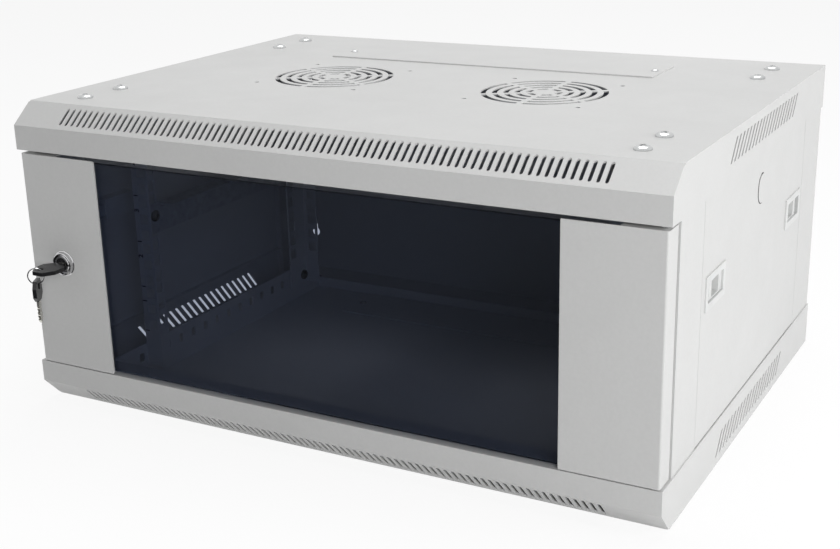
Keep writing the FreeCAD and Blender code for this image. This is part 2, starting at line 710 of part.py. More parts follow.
# Rack posts
def make_post(name, side, face, way, bolt_y):
    """way is 1 for a front post, whose side flange runs back, and -1 for a rear one."""
    body = new_body(name)
    profile = new_sketch(body, "XY_Plane", post_end)
    add_outline(profile, [
        (side * rail_face, face),
        (side * rack_opening / 2, face),
        (side * rack_opening / 2, face + way * rail_gauge),
        (side * post_corner, face + way * rail_gauge),
        (side * post_corner, face + way * post_side),
        (side * rail_face, face + way * post_side),
    ])
    pad(body, profile, height - post_end * 2)
    base = middle_height - rack_unit * rack_units / 2 + rack_edge
    reach = rack_hole / 2
    rack = new_sketch(body, "XZ_Plane", -face)
    flank = new_sketch(body, "YZ_Plane", side * rail_face)
    for step in range(3):
        x, z = side * rack_span / 2, base + rack_step * step
        add_box(rack, x - reach, x + reach, z - reach, z + reach)
        y, z = face + way * post_column, z - post_shift
        add_box(flank, y - reach, y + reach, z - reach, z + reach)
    cut = pocket(body, rack, rail_gauge, back=way < 0)
    repeat(body, cut, "Z_Axis", rack_unit, rack_units)
    cut = pocket(body, flank, rail_gauge, back=side < 0)
    repeat(body, cut, "Z_Axis", rack_unit, rack_units)
    bolts = new_sketch(body, "YZ_Plane", side * rail_face)
    for z in (rail_row, height - rail_row):
        add_screw_hole(bolts, bolt_y, z, post_bolt / 2 + bolt_play)
    pocket(body, bolts, rail_gauge, back=side < 0)


# Support rails, which carry heavy equipment from post to post
support_bolts = [post_face + post_column, post_back - post_column]


def make_support(name, side):
    body = new_body(name)
    start = support_bolts[0] - support_end
    length = support_bolts[1] + support_end - start
    top = bolt_line_z + support_over
    web = post_corner - rail_gauge
    profile = new_sketch(body, "XZ_Plane", -start)
    add_outline(profile, [
        (side * post_corner, top),
        (side * (post_corner - support_ledge), top),
        (side * (post_corner - support_ledge), top - rail_gauge),
        (side * web, top - rail_gauge),
        (side * web, top - support_web),
        (side * post_corner, top - support_web),
    ])
    pad(body, profile, length, back=True)
    ends = new_sketch(body, "XY_Plane", top)
    for near, far in ((start, start + support_notch), (start + length - support_notch, start + length)):
        add_box(ends, side * web, side * (post_corner - support_ledge), near, far)
    pocket(body, ends, rail_gauge)
    holes = new_sketch(body, "YZ_Plane", side * web)
    for place in support_bolts:
        add_screw_hole(holes, place, bolt_line_z, post_bolt / 2 + bolt_play)
    pocket(body, holes, rail_gauge, back=side > 0)


for label, side in (("left", -1), ("right", 1)):
    make_pillar(f"{label}_front_pillar", side)
    make_rail(f"{label}_bottom_rail", side, from_base, False)
    make_rail(f"{label}_top_rail", side, from_top, True)
    make_post(f"{label}_front_post", side, post_face, 1, bolt_front)
    make_post(f"{label}_rear_post", side, post_back, -1, bolt_rear)
    make_support(f"{label}_support_rail", side)


# Door
def make_plate(name, left, right, near, far, low, high):
    body = new_body(name)
    outline = new_sketch(body, "XY_Plane", low)
    add_box(outline, left, right, near, far)
    pad(body, outline, high - low)


def make_strip(name, side, edge, wide):
    """A steel strip at one side of the glass, folded back into a channel along its outer edge."""
    body = new_body(name)
    outer = side * edge
    inner = side * (edge - wide)
    back = front + strip_deep
    profile = new_sketch(body, "XY_Plane", door_low)
    add_outline(profile, [
        (inner, front),
        (outer, front),
        (outer, back),
        (outer - side * strip_fold, back),
        (outer - side * strip_fold, back - gauge),
        (outer - side * gauge, back - gauge),
        (outer - side * gauge, front + gauge),
        (inner, front + gauge),
    ])
    pad(body, profile, door_high - door_low)
    for low in (door_low, door_high - gauge):
        ear = new_sketch(body, "XY_Plane", low)
        add_box(ear, outer - side * strip_ear, outer - side * gauge / 2,
                front + gauge / 2, back - gauge / 2)
        pad(body, ear, gauge)
    doc.recompute()
    channel = body.Tip
    bends = []
    for index, edge_shape in enumerate(channel.Shape.Edges, 1):
        box = edge_shape.BoundBox
        upright = box.ZLength > float(door_high - door_low) - 0.1
        if upright and abs(box.XMin - float(outer)) < 0.01 and box.XLength < 0.01:
            bends.append(f"Edge{index}")
    bend = body.newObject("PartDesign::Fillet", "bends")
    bend.Base = (channel, bends)
    bend.setExpression("Radius", strip_bend.text)
    body.Tip = bend
    return body


left_strip = make_strip("left_door_strip", -1, door_left, strip_left)
lock_hole = new_sketch(left_strip, "XZ_Plane", -front)
add_circle(lock_hole, lock_x, lock_z, barrel_hole / 2)
pocket(left_strip, lock_hole, gauge)

right_strip = make_strip("right_door_strip", 1, door_right, strip_right)
pin_holes = new_sketch(right_strip, "XY_Plane", door_low)
add_circle(pin_holes, hinge_x, hinge_y, pin_radius + pin_play)
pocket(right_strip, pin_holes, door_high - door_low, back=True)

glass_left = strip_left - door_left - glass_lap
glass_right = door_right - strip_right + glass_lap
glass_front = front + gauge + tape_thick
make_plate("door_glass", glass_left, glass_right, glass_front, glass_front + glass_thick,
           door_low + glass_short, door_high - glass_short)
for label, near, far in (
    ("left", glass_left, glass_left + tape_wide),
    ("right", glass_right - tape_wide, glass_right),
):
    make_plate(f"{label}_glass_tape", near, far, front + gauge, glass_front,
               door_low + glass_short, door_high - glass_short)


# Side panels
def make_side_panel(name, side):
    body = new_body(name)
    low, high = skirt + panel_gap, height - skirt - panel_gap
    outer = new_sketch(body, "YZ_Plane", side * inside)
    add_box(outer, panel_front, panel_rear, low, high)
    pad(body, outer, edge_fold, back=side > 0)
    hollow = new_sketch(body, "YZ_Plane", side * (inside - edge_fold))
    add_box(hollow, panel_front + panel_gauge, panel_rear - panel_gauge,
            low + panel_gauge, high - panel_gauge)
    pocket(body, hollow, edge_fold - panel_gauge, back=side > 0)
    windows = new_sketch(body, "YZ_Plane", side * inside)
    for near, far in latch_spans:
        add_box(windows, near + latch_rim, far - latch_rim,
                latch_middle - latch_tall / 2 + latch_rim, latch_middle + latch_tall / 2 - latch_rim)
    pocket(body, windows, panel_gauge, back=side < 0)
    knockout = new_sketch(body, "YZ_Plane", side * inside)
    add_slot(knockout, vent_middle, knockout_middle - knockout_tall / 2,
             knockout_middle + knockout_tall / 2, knockout_wide / 2)
    pad(body, knockout, knockout_proud, back=side < 0)


latch_spans = [
    (panel_front + latch_inset, panel_front + latch_inset + latch_long),
    (panel_rear - latch_inset - latch_long, panel_rear - latch_inset),
]


def make_latch(label, side, way):
    """way is -1 for a latch whose bolt points to the front and 1 for one that points back."""
    near, far = latch_spans[0] if way < 0 else latch_spans[1]
    rim, wall = latch_rim, latch_rim + latch_wall
    low, high = latch_middle - latch_tall / 2, latch_middle + latch_tall / 2
    housing = new_body(f"{label}_latch_housing")
    frame = new_sketch(housing, "YZ_Plane", side * inside)
    add_box(frame, near, far, low, high)
    pad(housing, frame, gauge, back=side < 0)
    shell = new_sketch(housing, "YZ_Plane", side * inside)
    add_box(shell, near + rim, far - rim, low + rim, high - rim)
    pad(housing, shell, latch_deep, back=side > 0)
    cavity = new_sketch(housing, "YZ_Plane", side * half)
    add_box(cavity, near + wall, far - wall, low + wall, high - wall)
    pocket(housing, cavity, half - inside + latch_deep - latch_wall, back=side < 0)
    end = near + rim if way < 0 else far - rim
    bolt_low, bolt_high = latch_middle - bolt_tall / 2, latch_middle + bolt_tall / 2
    exit_hole = new_sketch(housing, "XZ_Plane", -end)
    add_box(exit_hole, side * (slider_inner - latch_play), side * (slider_inner + bolt_thick + latch_play),
            bolt_low - latch_play, bolt_high + latch_play)
    pocket(housing, exit_hole, latch_wall, back=way > 0)

    slider = new_body(f"{label}_latch")
    back_end = far - wall - latch_play if way < 0 else near + wall + latch_play
    bolt_end = back_end + way * slider_long
    plate = new_sketch(slider, "YZ_Plane", side * slider_outer)
    add_box(plate, back_end, bolt_end, low + wall + latch_play, high - wall - latch_play)
    pad(slider, plate, slider_outer - slider_inner, back=side > 0)
    grip_end = bolt_end - way * grip_inset
    grip = new_sketch(slider, "YZ_Plane", side * slider_outer)
    add_box(grip, grip_end - way * grip_long, grip_end,
            low + wall + latch_play + grip_rim, high - wall - latch_play - grip_rim)
    pocket(slider, grip, grip_deep, back=side < 0)
    tip = panel_front + bolt_back if way < 0 else panel_rear - bolt_back
    bolt = new_sketch(slider, "YZ_Plane", side * slider_inner)
    add_box(bolt, bolt_end - way * grip_inset / 2, tip, bolt_low, bolt_high)
    pad(slider, bolt, bolt_thick, back=side < 0)


for label, side in (("left", -1), ("right", 1)):
    make_side_panel(f"{label}_side_panel", side)
    make_latch(f"{label}_front", side, -1)
    make_latch(f"{label}_rear", side, 1)


# Turned pieces, bolts, nuts and keys
def revolve(body, points, x, y, plane, offset):
    """Turn an outline about the upright line through x and y of a plane of the body."""
    sketch = new_sketch(body, plane, offset)
    sketch.setExpression(".AttachmentOffset.Base.x", as_dim(x).text)
    sketch.setExpression(".AttachmentOffset.Base.y", as_dim(y).text)
    add_outline(sketch, points)
    turned = body.newObject("PartDesign::Revolution", f"{body.Label}_turned")
    turned.Profile = sketch
    turned.ReferenceAxis = (sketch, ["V_Axis"])
    turned.Angle = 360
    body.Tip = turned


def add_bar(name, sides, radius, length, spot, way):
    """A many-sided bar that runs from a spot along a unit vector, with its corners on the radius."""
    bar = doc.addObject("Part::Prism", name)
    bar.Polygon = sides
    bar.setExpression("Circumradius", as_dim(radius).text)
    bar.setExpression("Height", as_dim(length).text)
    bar.Placement = Placement(Vector(*[float(place) for place in spot]), Rotation(UP, way))
    for axis, place in zip("xyz", spot):
        bar.setExpression(f".Placement.Base.{axis}", as_dim(place).text)
    return bar


def join_bars(name, bars):
    joined = doc.addObject("Part::MultiFuse", name)
    joined.Label = name
    joined.Shapes = bars
    return joined


def make_fasteners(name, groups):
    """Like fasteners in one piece. A group: spots on the seat, the way out, head and shank."""
    bars = []
    for spots, out, (head, tall), (shank, long) in groups:
        for spot in spots:
            bars.append(add_bar(f"{name}_head", 12, head / 2, tall, spot, out))
            bars.append(add_bar(f"{name}_shank", 6, shank / 2, long, spot, -out))
    pieces.append(join_bars(name, bars))


UP = Vector(0, 0, 1)
RIGHT = Vector(1, 0, 0)
cover_heads = (cover_head, cover_head_tall)
both_sides = [side * screw_across / 2 for side in (-1, 1)]
roof_spots = [(x, y, height) for x in both_sides for y in screw_places]
foot_spots = [(x, y, gauge + rail_gauge) for x in both_sides for y in screw_places[:-1]]
fold_spots = [(x, screw_places[-1], gauge * 2) for x in both_sides]
make_fasteners("top_cover_screws", [(roof_spots, UP, cover_heads, (cover_screw, screw_long))])
make_fasteners("bottom_cover_screws", [
    (foot_spots, UP, cover_heads, (cover_screw, gauge + rail_gauge)),
    (fold_spots, UP, cover_heads, (cover_screw, gauge * 2)),
])
entry_spots = [
    [(side * entry_screw_x, entry_middle, level) for side in (-1, 1)]
    for level in (height + gauge, gauge * 2)
]
small_heads = (small_head, small_head_tall)
make_fasteners("cable_cover_screws", [
    (entry_spots[0], UP, small_heads, (small_screw, gauge * 2 + 3)),
    (entry_spots[1], UP, small_heads, (small_screw, gauge * 2)),
])
post_places = [(y, z) for y in (bolt_front, bolt_rear) for z in (rail_row, height - rail_row)]
support_places = [(y, bolt_line_z) for y in support_bolts]
bolt_heads = (post_bolt_head, post_bolt_tall)
bolt_shank = (post_bolt, rail_gauge * 2 + post_nut + 1)


def side_spots(seat, places):
    """Spots on both sides of the case, a seat's distance from its middle."""
    return [
        ([(side * seat, y, z) for y, z in places], RIGHT * -side) for side in (-1, 1)
    ]


make_fasteners("post_bolts", [
    (spots, out, bolt_heads, bolt_shank) for spots, out in side_spots(post_corner, post_places)
])
make_fasteners("support_rail_bolts", [
    (spots, out, bolt_heads, bolt_shank)
    for spots, out in side_spots(post_corner - rail_gauge, support_places)
])
nut_bodies = []
nut_bores = []
for seat, places in ((rail_face + rail_gauge, post_places), (rail_face, support_places)):
    for spots, out in side_spots(seat, places):
        for spot in spots:
            nut_bodies.append(add_bar("nut_body", 6, nut_across / math.sqrt(3), post_nut, spot, -out))
            nut_bores.append(add_bar("nut_bore", 6, post_bolt / 2, post_nut, spot, -out))
nuts = doc.addObject("Part::Cut", "post_nuts")
nuts.Label = "post_nuts"
nuts.Base = join_bars("nut_bodies", nut_bodies)
nuts.Tool = join_bars("nut_bores", nut_bores)
pieces.append(nuts)


# Lock, turned about an axis that runs from front to back
housing = new_body("lock_housing")
bore = plug_radius + plug_play
revolve(housing, [
    (bore, front - rosette_proud),
    (rosette_radius * 0.8, front - rosette_proud),
    (rosette_radius, front - rosette_proud / 4),
    (rosette_radius, front),
    (barrel_radius, front),
    (barrel_radius, front + barrel_long),
    (bore, front + barrel_long),
], lock_x, 0, "XY_Plane", lock_z)

lock_nut = new_body("lock_nut")
nut_face = new_sketch(lock_nut, "XZ_Plane", -(front + gauge))
add_many_sided(nut_face, lock_x, lock_z, lock_nut_across / 2, 6, around=True)
add_circle(nut_face, lock_x, lock_z, barrel_radius)
pad(lock_nut, nut_face, lock_nut_thick, back=True)

plug_face = front - rosette_proud + plug_sink
lock_plug = new_body("lock_plug")
revolve(lock_plug, [
    (0, plug_face),
    (plug_radius, plug_face),
    (plug_radius, front + barrel_long),
    (plug_radius - 1, front + barrel_long),
    (plug_radius - 1, cam_front),
    (0, cam_front),
], lock_x, 0, "XY_Plane", lock_z)
plug_end = new_sketch(lock_plug, "XZ_Plane", -cam_front)
add_box(plug_end, lock_x - plug_tail / 2, lock_x + plug_tail / 2,
        lock_z - plug_tail / 2, lock_z + plug_tail / 2)
pad(lock_plug, plug_end, cam_thick, back=True)
keyway = new_sketch(lock_plug, "XZ_Plane", -plug_face)
across, along = blade_width / 2 + blade_play, blade_thick / 2 + blade_play
add_box(keyway, lock_x - across, lock_x + across, lock_z - along, lock_z + along)
pocket(lock_plug, keyway, bow_front + blade_long + 0.5 - plug_face)
screw_hole = new_sketch(lock_plug, "XZ_Plane", -cam_back)
add_circle(screw_hole, lock_x, lock_z, cam_screw_radius)
pocket(lock_plug, screw_hole, cam_screw_long, back=True)

cam = new_body("lock_cam")
cam_face = new_sketch(cam, "XZ_Plane", -cam_front)
add_slot(cam_face, lock_x, lock_z - cam_reach, lock_z + cam_width / 2, cam_width / 2)
add_box(cam_face, lock_x - plug_tail / 2, lock_x + plug_tail / 2,
        lock_z - plug_tail / 2, lock_z + plug_tail / 2)
pad(cam, cam_face, cam_thick, back=True)

cam_screw = new_body("cam_screw")
revolve(cam_screw, [
    (0, cam_back - cam_screw_long),
    (cam_screw_radius, cam_back - cam_screw_long),
    (cam_screw_radius, cam_back),
    (cam_screw_head, cam_back),
    (cam_screw_head, cam_back + cam_screw_tall),
    (0, cam_back + cam_screw_tall),
], lock_x, 0, "XY_Plane", lock_z)


# Keys: each is drawn flat with its neck at the origin, its bow towards -Y and its blade towards +Y
ring_x, ring_y = cosine(ring_turn), sine(ring_turn)
edge_x = -(bow_half + bow_tip) / 2
edge_y = -(bow_long * 5 / 6)


def make_key(bow_name, blade_name, long, half_wide, tip, hole, placement):
    """The bow is a plate with six sides, widest over its middle. The blade has cuts in one edge."""
    bow = new_body(bow_name)
    bow.Placement = placement
    outline = new_sketch(bow, "XY_Plane", -(bow_thick / 2))
    right = [(bow_neck, 0), (half_wide, -(long / 4)), (half_wide, -(long * 2 / 3)), (tip, -long)]
    add_outline(outline, right + [(-x, y) for x, y in reversed(right)])
    add_circle(outline, *hole, ring_hole)
    pad(bow, outline, bow_thick)
    blade = new_body(blade_name)
    blade.Placement = placement
    edge = blade_width / 2
    points = [(-edge, 0), (edge, 0)]
    for step in range(blade_cuts):
        start = blade_first + blade_pitch * step
        deep = edge - blade_cut * (1 + step % 2)
        points += [(edge, start), (deep, start + blade_cut), (deep, start + blade_cut * 2),
                   (edge, start + blade_cut * 3)]
    points += [(edge, blade_long - edge), (0, blade_long), (-edge, blade_long - edge)]
    shape = new_sketch(blade, "XY_Plane", -(blade_thick / 2))
    add_outline(shape, points)
    pad(blade, shape, blade_thick)


key_at = Vector(float(lock_x), float(bow_front), float(lock_z))
key_hole = (edge_x + ring_x * (ring_web + ring_hole), edge_y + ring_y * (ring_web + ring_hole))
make_key("key_bow", "key_blade", bow_long, bow_half, bow_tip, key_hole,
         Placement(key_at, Rotation()))

web_x = lock_x + edge_x + ring_x * ring_web / 2
web_y = bow_front + edge_y + ring_y * ring_web / 2
ring_z = lock_z + bow_thick / 2 + ring_play + ring_wire - ring_radius
along_wire = Vector(float(ring_x), float(ring_y), 0)
ring = new_body("key_ring")
ring.Placement = Placement(Vector(float(web_x), float(web_y), float(ring_z)), Rotation(along_wire, 90))
wire_corners = [math.radians(60 * step) for step in range(6)]
revolve(ring, [
    (ring_radius + ring_wire * math.cos(angle), ring_wire * math.sin(angle)) for angle in wire_corners
], 0, 0, "XZ_Plane", 0)

spare_top = ring_z - ring_radius + ring_wire + ring_play + ring_web
spare_hole = (0, ring_web + ring_hole - spare_long)
spare_at = Vector(float(web_x), float(web_y), float(spare_top - spare_long))
hanging = Rotation(Vector(float(ring_y), -float(ring_x), 0), Vector(0, 0, -1), along_wire, "ZYX")
make_key("spare_key_bow", "spare_key_blade", spare_long, spare_half, bow_tip, spare_hole,
         Placement(spare_at, hanging))


# Hinge
def turned_piece(name, points):
    """A round piece on the hinge's axis, given as radii and heights."""
    body = new_body(name)
    revolve(body, points, hinge_x, 0, "XZ_Plane", -hinge_y)
    return body


turned_piece("lower_hinge_pin", [
    (0, ledge_top - gauge - pin_head_thick),
    (pin_head, ledge_top - gauge - pin_head_thick),
    (pin_head, ledge_top - gauge),
    (pin_radius, ledge_top - gauge),
    (pin_radius, ledge_top + pin_up - 1),
    (pin_radius - 1, ledge_top + pin_up),
    (0, ledge_top + pin_up),
])
turned_piece("hinge_washer", [
    (pin_radius, ledge_top),
    (washer_radius, ledge_top),
    (washer_radius, ledge_top + washer_thick),
    (pin_radius, ledge_top + washer_thick),
])
tail_z = spring_low - bracket_gauge - tail_drop
upper_pin = turned_piece("upper_hinge_pin", [
    (0, tail_z - tail_radius),
    (pin_radius, tail_z - tail_radius),
    (pin_radius, spring_top),
    (collar_radius, spring_top),
    (collar_radius, collar_top),
    (pin_radius, collar_top),
    (pin_radius, roof_ledge + pin_grip - 1),
    (pin_radius - 1, roof_ledge + pin_grip),
    (0, roof_ledge + pin_grip),
])
tail = new_sketch(upper_pin, "YZ_Plane", hinge_x)
add_circle(tail, hinge_y, tail_z, tail_radius)
pad(upper_pin, tail, tail_long, back=True)

bracket = new_body("upper_hinge_bracket")
bracket_side = new_sketch(bracket, "YZ_Plane", hinge_x)
add_outline(bracket_side, [
    (front + gauge, spring_low),
    (front + gauge + bracket_deep, spring_low),
    (front + gauge + bracket_deep, spring_low - bracket_gauge),
    (front + gauge + bracket_gauge, spring_low - bracket_gauge),
    (front + gauge + bracket_gauge, spring_low - bracket_tall),
    (front + gauge, spring_low - bracket_tall),
])
pad(bracket, bracket_side, bracket_wide, middle=True)
guide = new_sketch(bracket, "XY_Plane", spring_low)
add_circle(guide, hinge_x, hinge_y, pin_radius + pin_play)
pocket(bracket, guide, bracket_gauge)

# Spring of the upper pin, wound round it between the bracket and the collar
spring_steps = 10
wire = float(spring_wire / 2)
spring_mean = float(pin_radius) + wire + 0.4
climb = float(spring_tall) - wire * 2


def coil_section(step):
    """The wire's outline, a hexagon, at one step along the helix."""
    turn = 2 * math.pi * step / spring_steps
    outwards = Vector(math.cos(turn), math.sin(turn), 0)
    middle = outwards * spring_mean + Vector(0, 0, climb * step / (spring_steps * spring_turns))
    corners = [math.radians(60 * corner) for corner in range(7)]
    return Part.makePolygon([
        middle + outwards * (wire * math.cos(angle)) + Vector(0, 0, wire * math.sin(angle))
        for angle in corners
    ])


coil = Part.makeLoft([coil_section(step) for step in range(spring_steps * spring_turns + 1)], True, True)
spring = doc.addObject("Part::Feature", "pin_spring")
spring.Label = "pin_spring"
spring.Shape = coil
spring.Placement = Placement(
    Vector(float(hinge_x), float(hinge_y), float(spring_low) + wire), Rotation())
pieces.append(spring)

doc.recompute()

# Every object is sound, every cut takes something away, and each piece goes to a file of its own
for thing in doc.Objects:
    if "Invalid" in thing.State or "Error" in thing.State:
        raise ValueError(f"{thing.Label}: {thing.getStatusString()}")
for body, cut in cuts:
    if cut.BaseFeature.Shape.Volume - cut.Shape.Volume < 0.5:
        raise ValueError(f"{body.Label}: {cut.Name} takes nothing away")
for piece in pieces:
    if piece.Shape.isNull() or not piece.Shape.isValid():
        raise ValueError(f"{piece.Label} has no sound shape")
    piece.Shape.exportStep(f"parts/{piece.Label}.step")
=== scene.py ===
import math

import bmesh
import bpy
from bpy.props import FloatProperty, FloatVectorProperty, IntProperty, PointerProperty
from mathutils import Matrix, Vector


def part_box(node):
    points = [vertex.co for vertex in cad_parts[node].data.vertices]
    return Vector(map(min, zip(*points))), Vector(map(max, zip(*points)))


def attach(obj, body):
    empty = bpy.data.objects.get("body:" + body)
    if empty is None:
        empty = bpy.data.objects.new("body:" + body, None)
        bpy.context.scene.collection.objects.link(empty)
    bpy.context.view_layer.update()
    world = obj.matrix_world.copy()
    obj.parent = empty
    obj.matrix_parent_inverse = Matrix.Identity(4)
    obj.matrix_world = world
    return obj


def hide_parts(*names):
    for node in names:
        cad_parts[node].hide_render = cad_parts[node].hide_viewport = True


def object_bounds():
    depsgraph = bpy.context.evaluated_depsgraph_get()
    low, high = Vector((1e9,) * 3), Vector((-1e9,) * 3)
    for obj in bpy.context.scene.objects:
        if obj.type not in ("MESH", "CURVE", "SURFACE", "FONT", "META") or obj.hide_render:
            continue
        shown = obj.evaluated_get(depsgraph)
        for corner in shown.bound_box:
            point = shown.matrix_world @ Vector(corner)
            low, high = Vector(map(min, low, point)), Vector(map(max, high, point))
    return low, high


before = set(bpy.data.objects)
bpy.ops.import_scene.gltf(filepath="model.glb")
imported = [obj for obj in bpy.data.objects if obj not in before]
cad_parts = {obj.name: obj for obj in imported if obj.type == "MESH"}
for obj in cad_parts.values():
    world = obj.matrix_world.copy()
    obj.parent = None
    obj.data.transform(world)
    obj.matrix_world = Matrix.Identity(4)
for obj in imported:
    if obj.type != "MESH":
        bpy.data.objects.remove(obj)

bl_info = {
    "name": "Wall cabinet finish",
    "version": (1, 0, 0),
    "blender": (4, 5, 0),
    "location": "3D View > Sidebar > Cabinet",
    "description": "Dresses a wall mount network cabinet with its finishes, screws and marks",
    "category": "Object",
}

case_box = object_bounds()
UP = Vector((0, 0, 1))
CASE_MIDDLE = 0.14  # height of the middle of the case and of its rack
RACK_UNIT = 0.04445
WELD = 1e-6  # points closer than this are one point
RELIEF = 0.0002  # height of the bumps in every finish


# Sizes and colours that a user would change
class CabinetFinish(bpy.types.PropertyGroup):
    coat: FloatVectorProperty(
        name="Powder coat", description="Light grey of the sheet steel", subtype="COLOR",
        default=(0.55, 0.55, 0.545), min=0, max=1)
    coat_grain: FloatProperty(
        name="Coat grain", description="Size of the powder coat's fine texture",
        default=0.0007, min=0.0001, unit="LENGTH")
    zinc: FloatVectorProperty(
        name="Zinc", description="Colour of the plated screws and pins", subtype="COLOR",
        default=(0.56, 0.57, 0.57), min=0, max=1)
    glass: FloatVectorProperty(
        name="Glass tint", description="Colour that the door's glass lets through",
        subtype="COLOR", default=(0.35, 0.385, 0.47), min=0, max=1)
    plastic: FloatVectorProperty(
        name="White plastic", description="Colour of the side panels' latches",
        subtype="COLOR", default=(0.58, 0.585, 0.58), min=0, max=1)
    black: FloatVectorProperty(
        name="Black", description="Colour of the key bows and post bolts", subtype="COLOR",
        default=(0.006, 0.006, 0.007), min=0, max=1)
    edge: FloatProperty(
        name="Edge rounding", description="Radius of the sheet's cut and folded edges",
        default=0.0004, min=0, unit="LENGTH")


class CabinetDetail(bpy.types.PropertyGroup):
    recess_long: FloatProperty(
        name="Cross recess", description="Tip to tip of the cross in a screw's head, as a share",
        default=0.56, min=0.1, max=0.9, subtype="FACTOR")
    recess_deep: FloatProperty(
        name="Recess depth", description="Depth of the cross, as a share of the head's height",
        default=0.6, min=0.1, max=0.9, subtype="FACTOR")
    number_tall: FloatProperty(
        name="Number height", description="Height of the unit numbers on the rack posts",
        default=0.0052, min=0.001, unit="LENGTH")
    mark_proud: FloatProperty(
        name="Print thickness", description="How far the printed marks stand off the post",
        default=0.00008, min=0.00001, unit="LENGTH")
    units: IntProperty(
        name="Rack units", description="Number of rack units on the posts", default=4, min=1)
    rosette_wide: FloatProperty(
        name="Rosette width", description="Outside of the chrome cone round the lock",
        default=0.0228, min=0.0196, unit="LENGTH")
    rosette_inner: FloatProperty(
        name="Rosette hole", description="Radius of the cone's hole, just clear of the lock",
        default=0.00955, min=0.0095, unit="LENGTH")
    scoop_long: FloatProperty(
        name="Finger scoop", description="Length of the scoop in a latch's slider",
        default=0.018, min=0.012, unit="LENGTH")


class CabinetStage(bpy.types.PropertyGroup):
    azimuth: FloatProperty(
        name="Azimuth", description="Camera's turn round the cabinet",
        default=math.radians(28.861), subtype="ANGLE")
    elevation: FloatProperty(
        name="Elevation", description="Camera's height above the horizon",
        default=math.radians(18.342), subtype="ANGLE")
    roll: FloatProperty(
        name="Roll", description="Camera's tilt about its own line of sight",
        default=math.radians(-1.335), subtype="ANGLE")
    distance: FloatProperty(
        name="Distance", description="Camera to the point it looks at", default=1.01438,
        unit="LENGTH")
    target: FloatVectorProperty(
        name="Target", description="Point that the camera looks at", subtype="XYZ",
        unit="LENGTH", default=(0.103614, -0.225, 0.179413))
    lens: FloatProperty(
        name="Lens", description="Focal length", default=57.26, unit="CAMERA")
    key_power: FloatProperty(
        name="Key lamp", description="Power of the lamp in front", default=26, unit="POWER")
    side_power: FloatProperty(
        name="Side lamp", description="Power of the lamp on the right", default=27,
        unit="POWER")
    top_power: FloatProperty(
        name="Top lamp", description="Power of the lamp overhead", default=37, unit="POWER")
    room: FloatProperty(
        name="Room light", description="Light that comes from all round", default=0.16, min=0)
    floor: FloatVectorProperty(
        name="Floor", description="Colour of the pale floor", subtype="COLOR",
        default=(0.9, 0.9, 0.9), min=0, max=1)


# Helpers for shader nodes
def new_group(name, inputs, outputs):
    """A node group with its sockets, and the nodes where it starts and ends."""
    group = bpy.data.node_groups.new(name, "ShaderNodeTree")
    for label, kind, value in inputs:
        socket = group.interface.new_socket(label, in_out="INPUT", socket_type=kind)
        socket.default_value = value
    for label, kind in outputs:
        group.interface.new_socket(label, in_out="OUTPUT", socket_type=kind)
    return group, group.nodes.new("NodeGroupInput"), group.nodes.new("NodeGroupOutput")


def noise(tree, vector, scale, detail=2.0):
    """A noise whose scale is a number or another node's output."""
    node = tree.nodes.new("ShaderNodeTexNoise")
    node.inputs["Detail"].default_value = detail
    tree.links.new(vector, node.inputs["Vector"])
    if isinstance(scale, (int, float)):
        node.inputs["Scale"].default_value = scale
    else:
        tree.links.new(scale, node.inputs["Scale"])
    return node.outputs["Fac"]


def spread(tree, value, low, high):
    """Maps the middle range of a noise to a range of values."""
    node = tree.nodes.new("ShaderNodeMapRange")
    node.inputs["From Min"].default_value = 0.3
    node.inputs["From Max"].default_value = 0.7
    node.inputs["To Min"].default_value = low
    node.inputs["To Max"].default_value = high
    tree.links.new(value, node.inputs["Value"])
    return node.outputs["Result"]


def tinted(tree, colour, value):
    """A colour multiplied by a value that changes over the surface."""
    node = tree.nodes.new("ShaderNodeVectorMath")
    node.operation = "SCALE"
    tree.links.new(colour, node.inputs[0])
    tree.links.new(value, node.inputs["Scale"])
    return node.outputs["Vector"]


def combined(tree, operation, first, second):
    """Two values taken together by a math node."""
    node = tree.nodes.new("ShaderNodeMath")
    node.operation = operation
    tree.links.new(first, node.inputs[0])
    tree.links.new(second, node.inputs[1])
    return node.outputs[0]


def background_rays(tree):
    """1 for the rays that show the plain white background: straight, mirrored or through glass."""
    path = tree.nodes.new("ShaderNodeLightPath")
    shown = path.outputs["Is Camera Ray"]
    for label in ("Is Glossy Ray", "Is Transmission Ray"):
        shown = combined(tree, "MAXIMUM", shown, path.outputs[label])
    return shown


# Node groups that more than one finish uses
def build_coat_group():
    """Orange peel of a powder coat, with a slow change of tone and handling marks."""
    group, start, end = new_group(
        "coat_surface",
        [("Colour", "NodeSocketColor", (0.5, 0.5, 0.5, 1)), ("Grain", "NodeSocketFloat", 1400)],
        [("Colour", "NodeSocketColor"), ("Roughness", "NodeSocketFloat"),
         ("Height", "NodeSocketFloat")])
    place = group.nodes.new("ShaderNodeTexCoord").outputs["Object"]
    grain = noise(group, place, start.outputs["Grain"], detail=3.0)
    tone = spread(group, noise(group, place, scale=5.0, detail=3.0), low=0.975, high=1.025)
    speckle = spread(group, noise(group, place, scale=420.0), low=0.985, high=1.015)
    shade = combined(group, "MULTIPLY", tone, speckle)
    group.links.new(tinted(group, start.outputs["Colour"], shade), end.inputs["Colour"])
    smudge = noise(group, place, scale=22.0, detail=4.0)
    group.links.new(spread(group, smudge, low=0.40, high=0.50), end.inputs["Roughness"])
    group.links.new(grain, end.inputs["Height"])
    return group


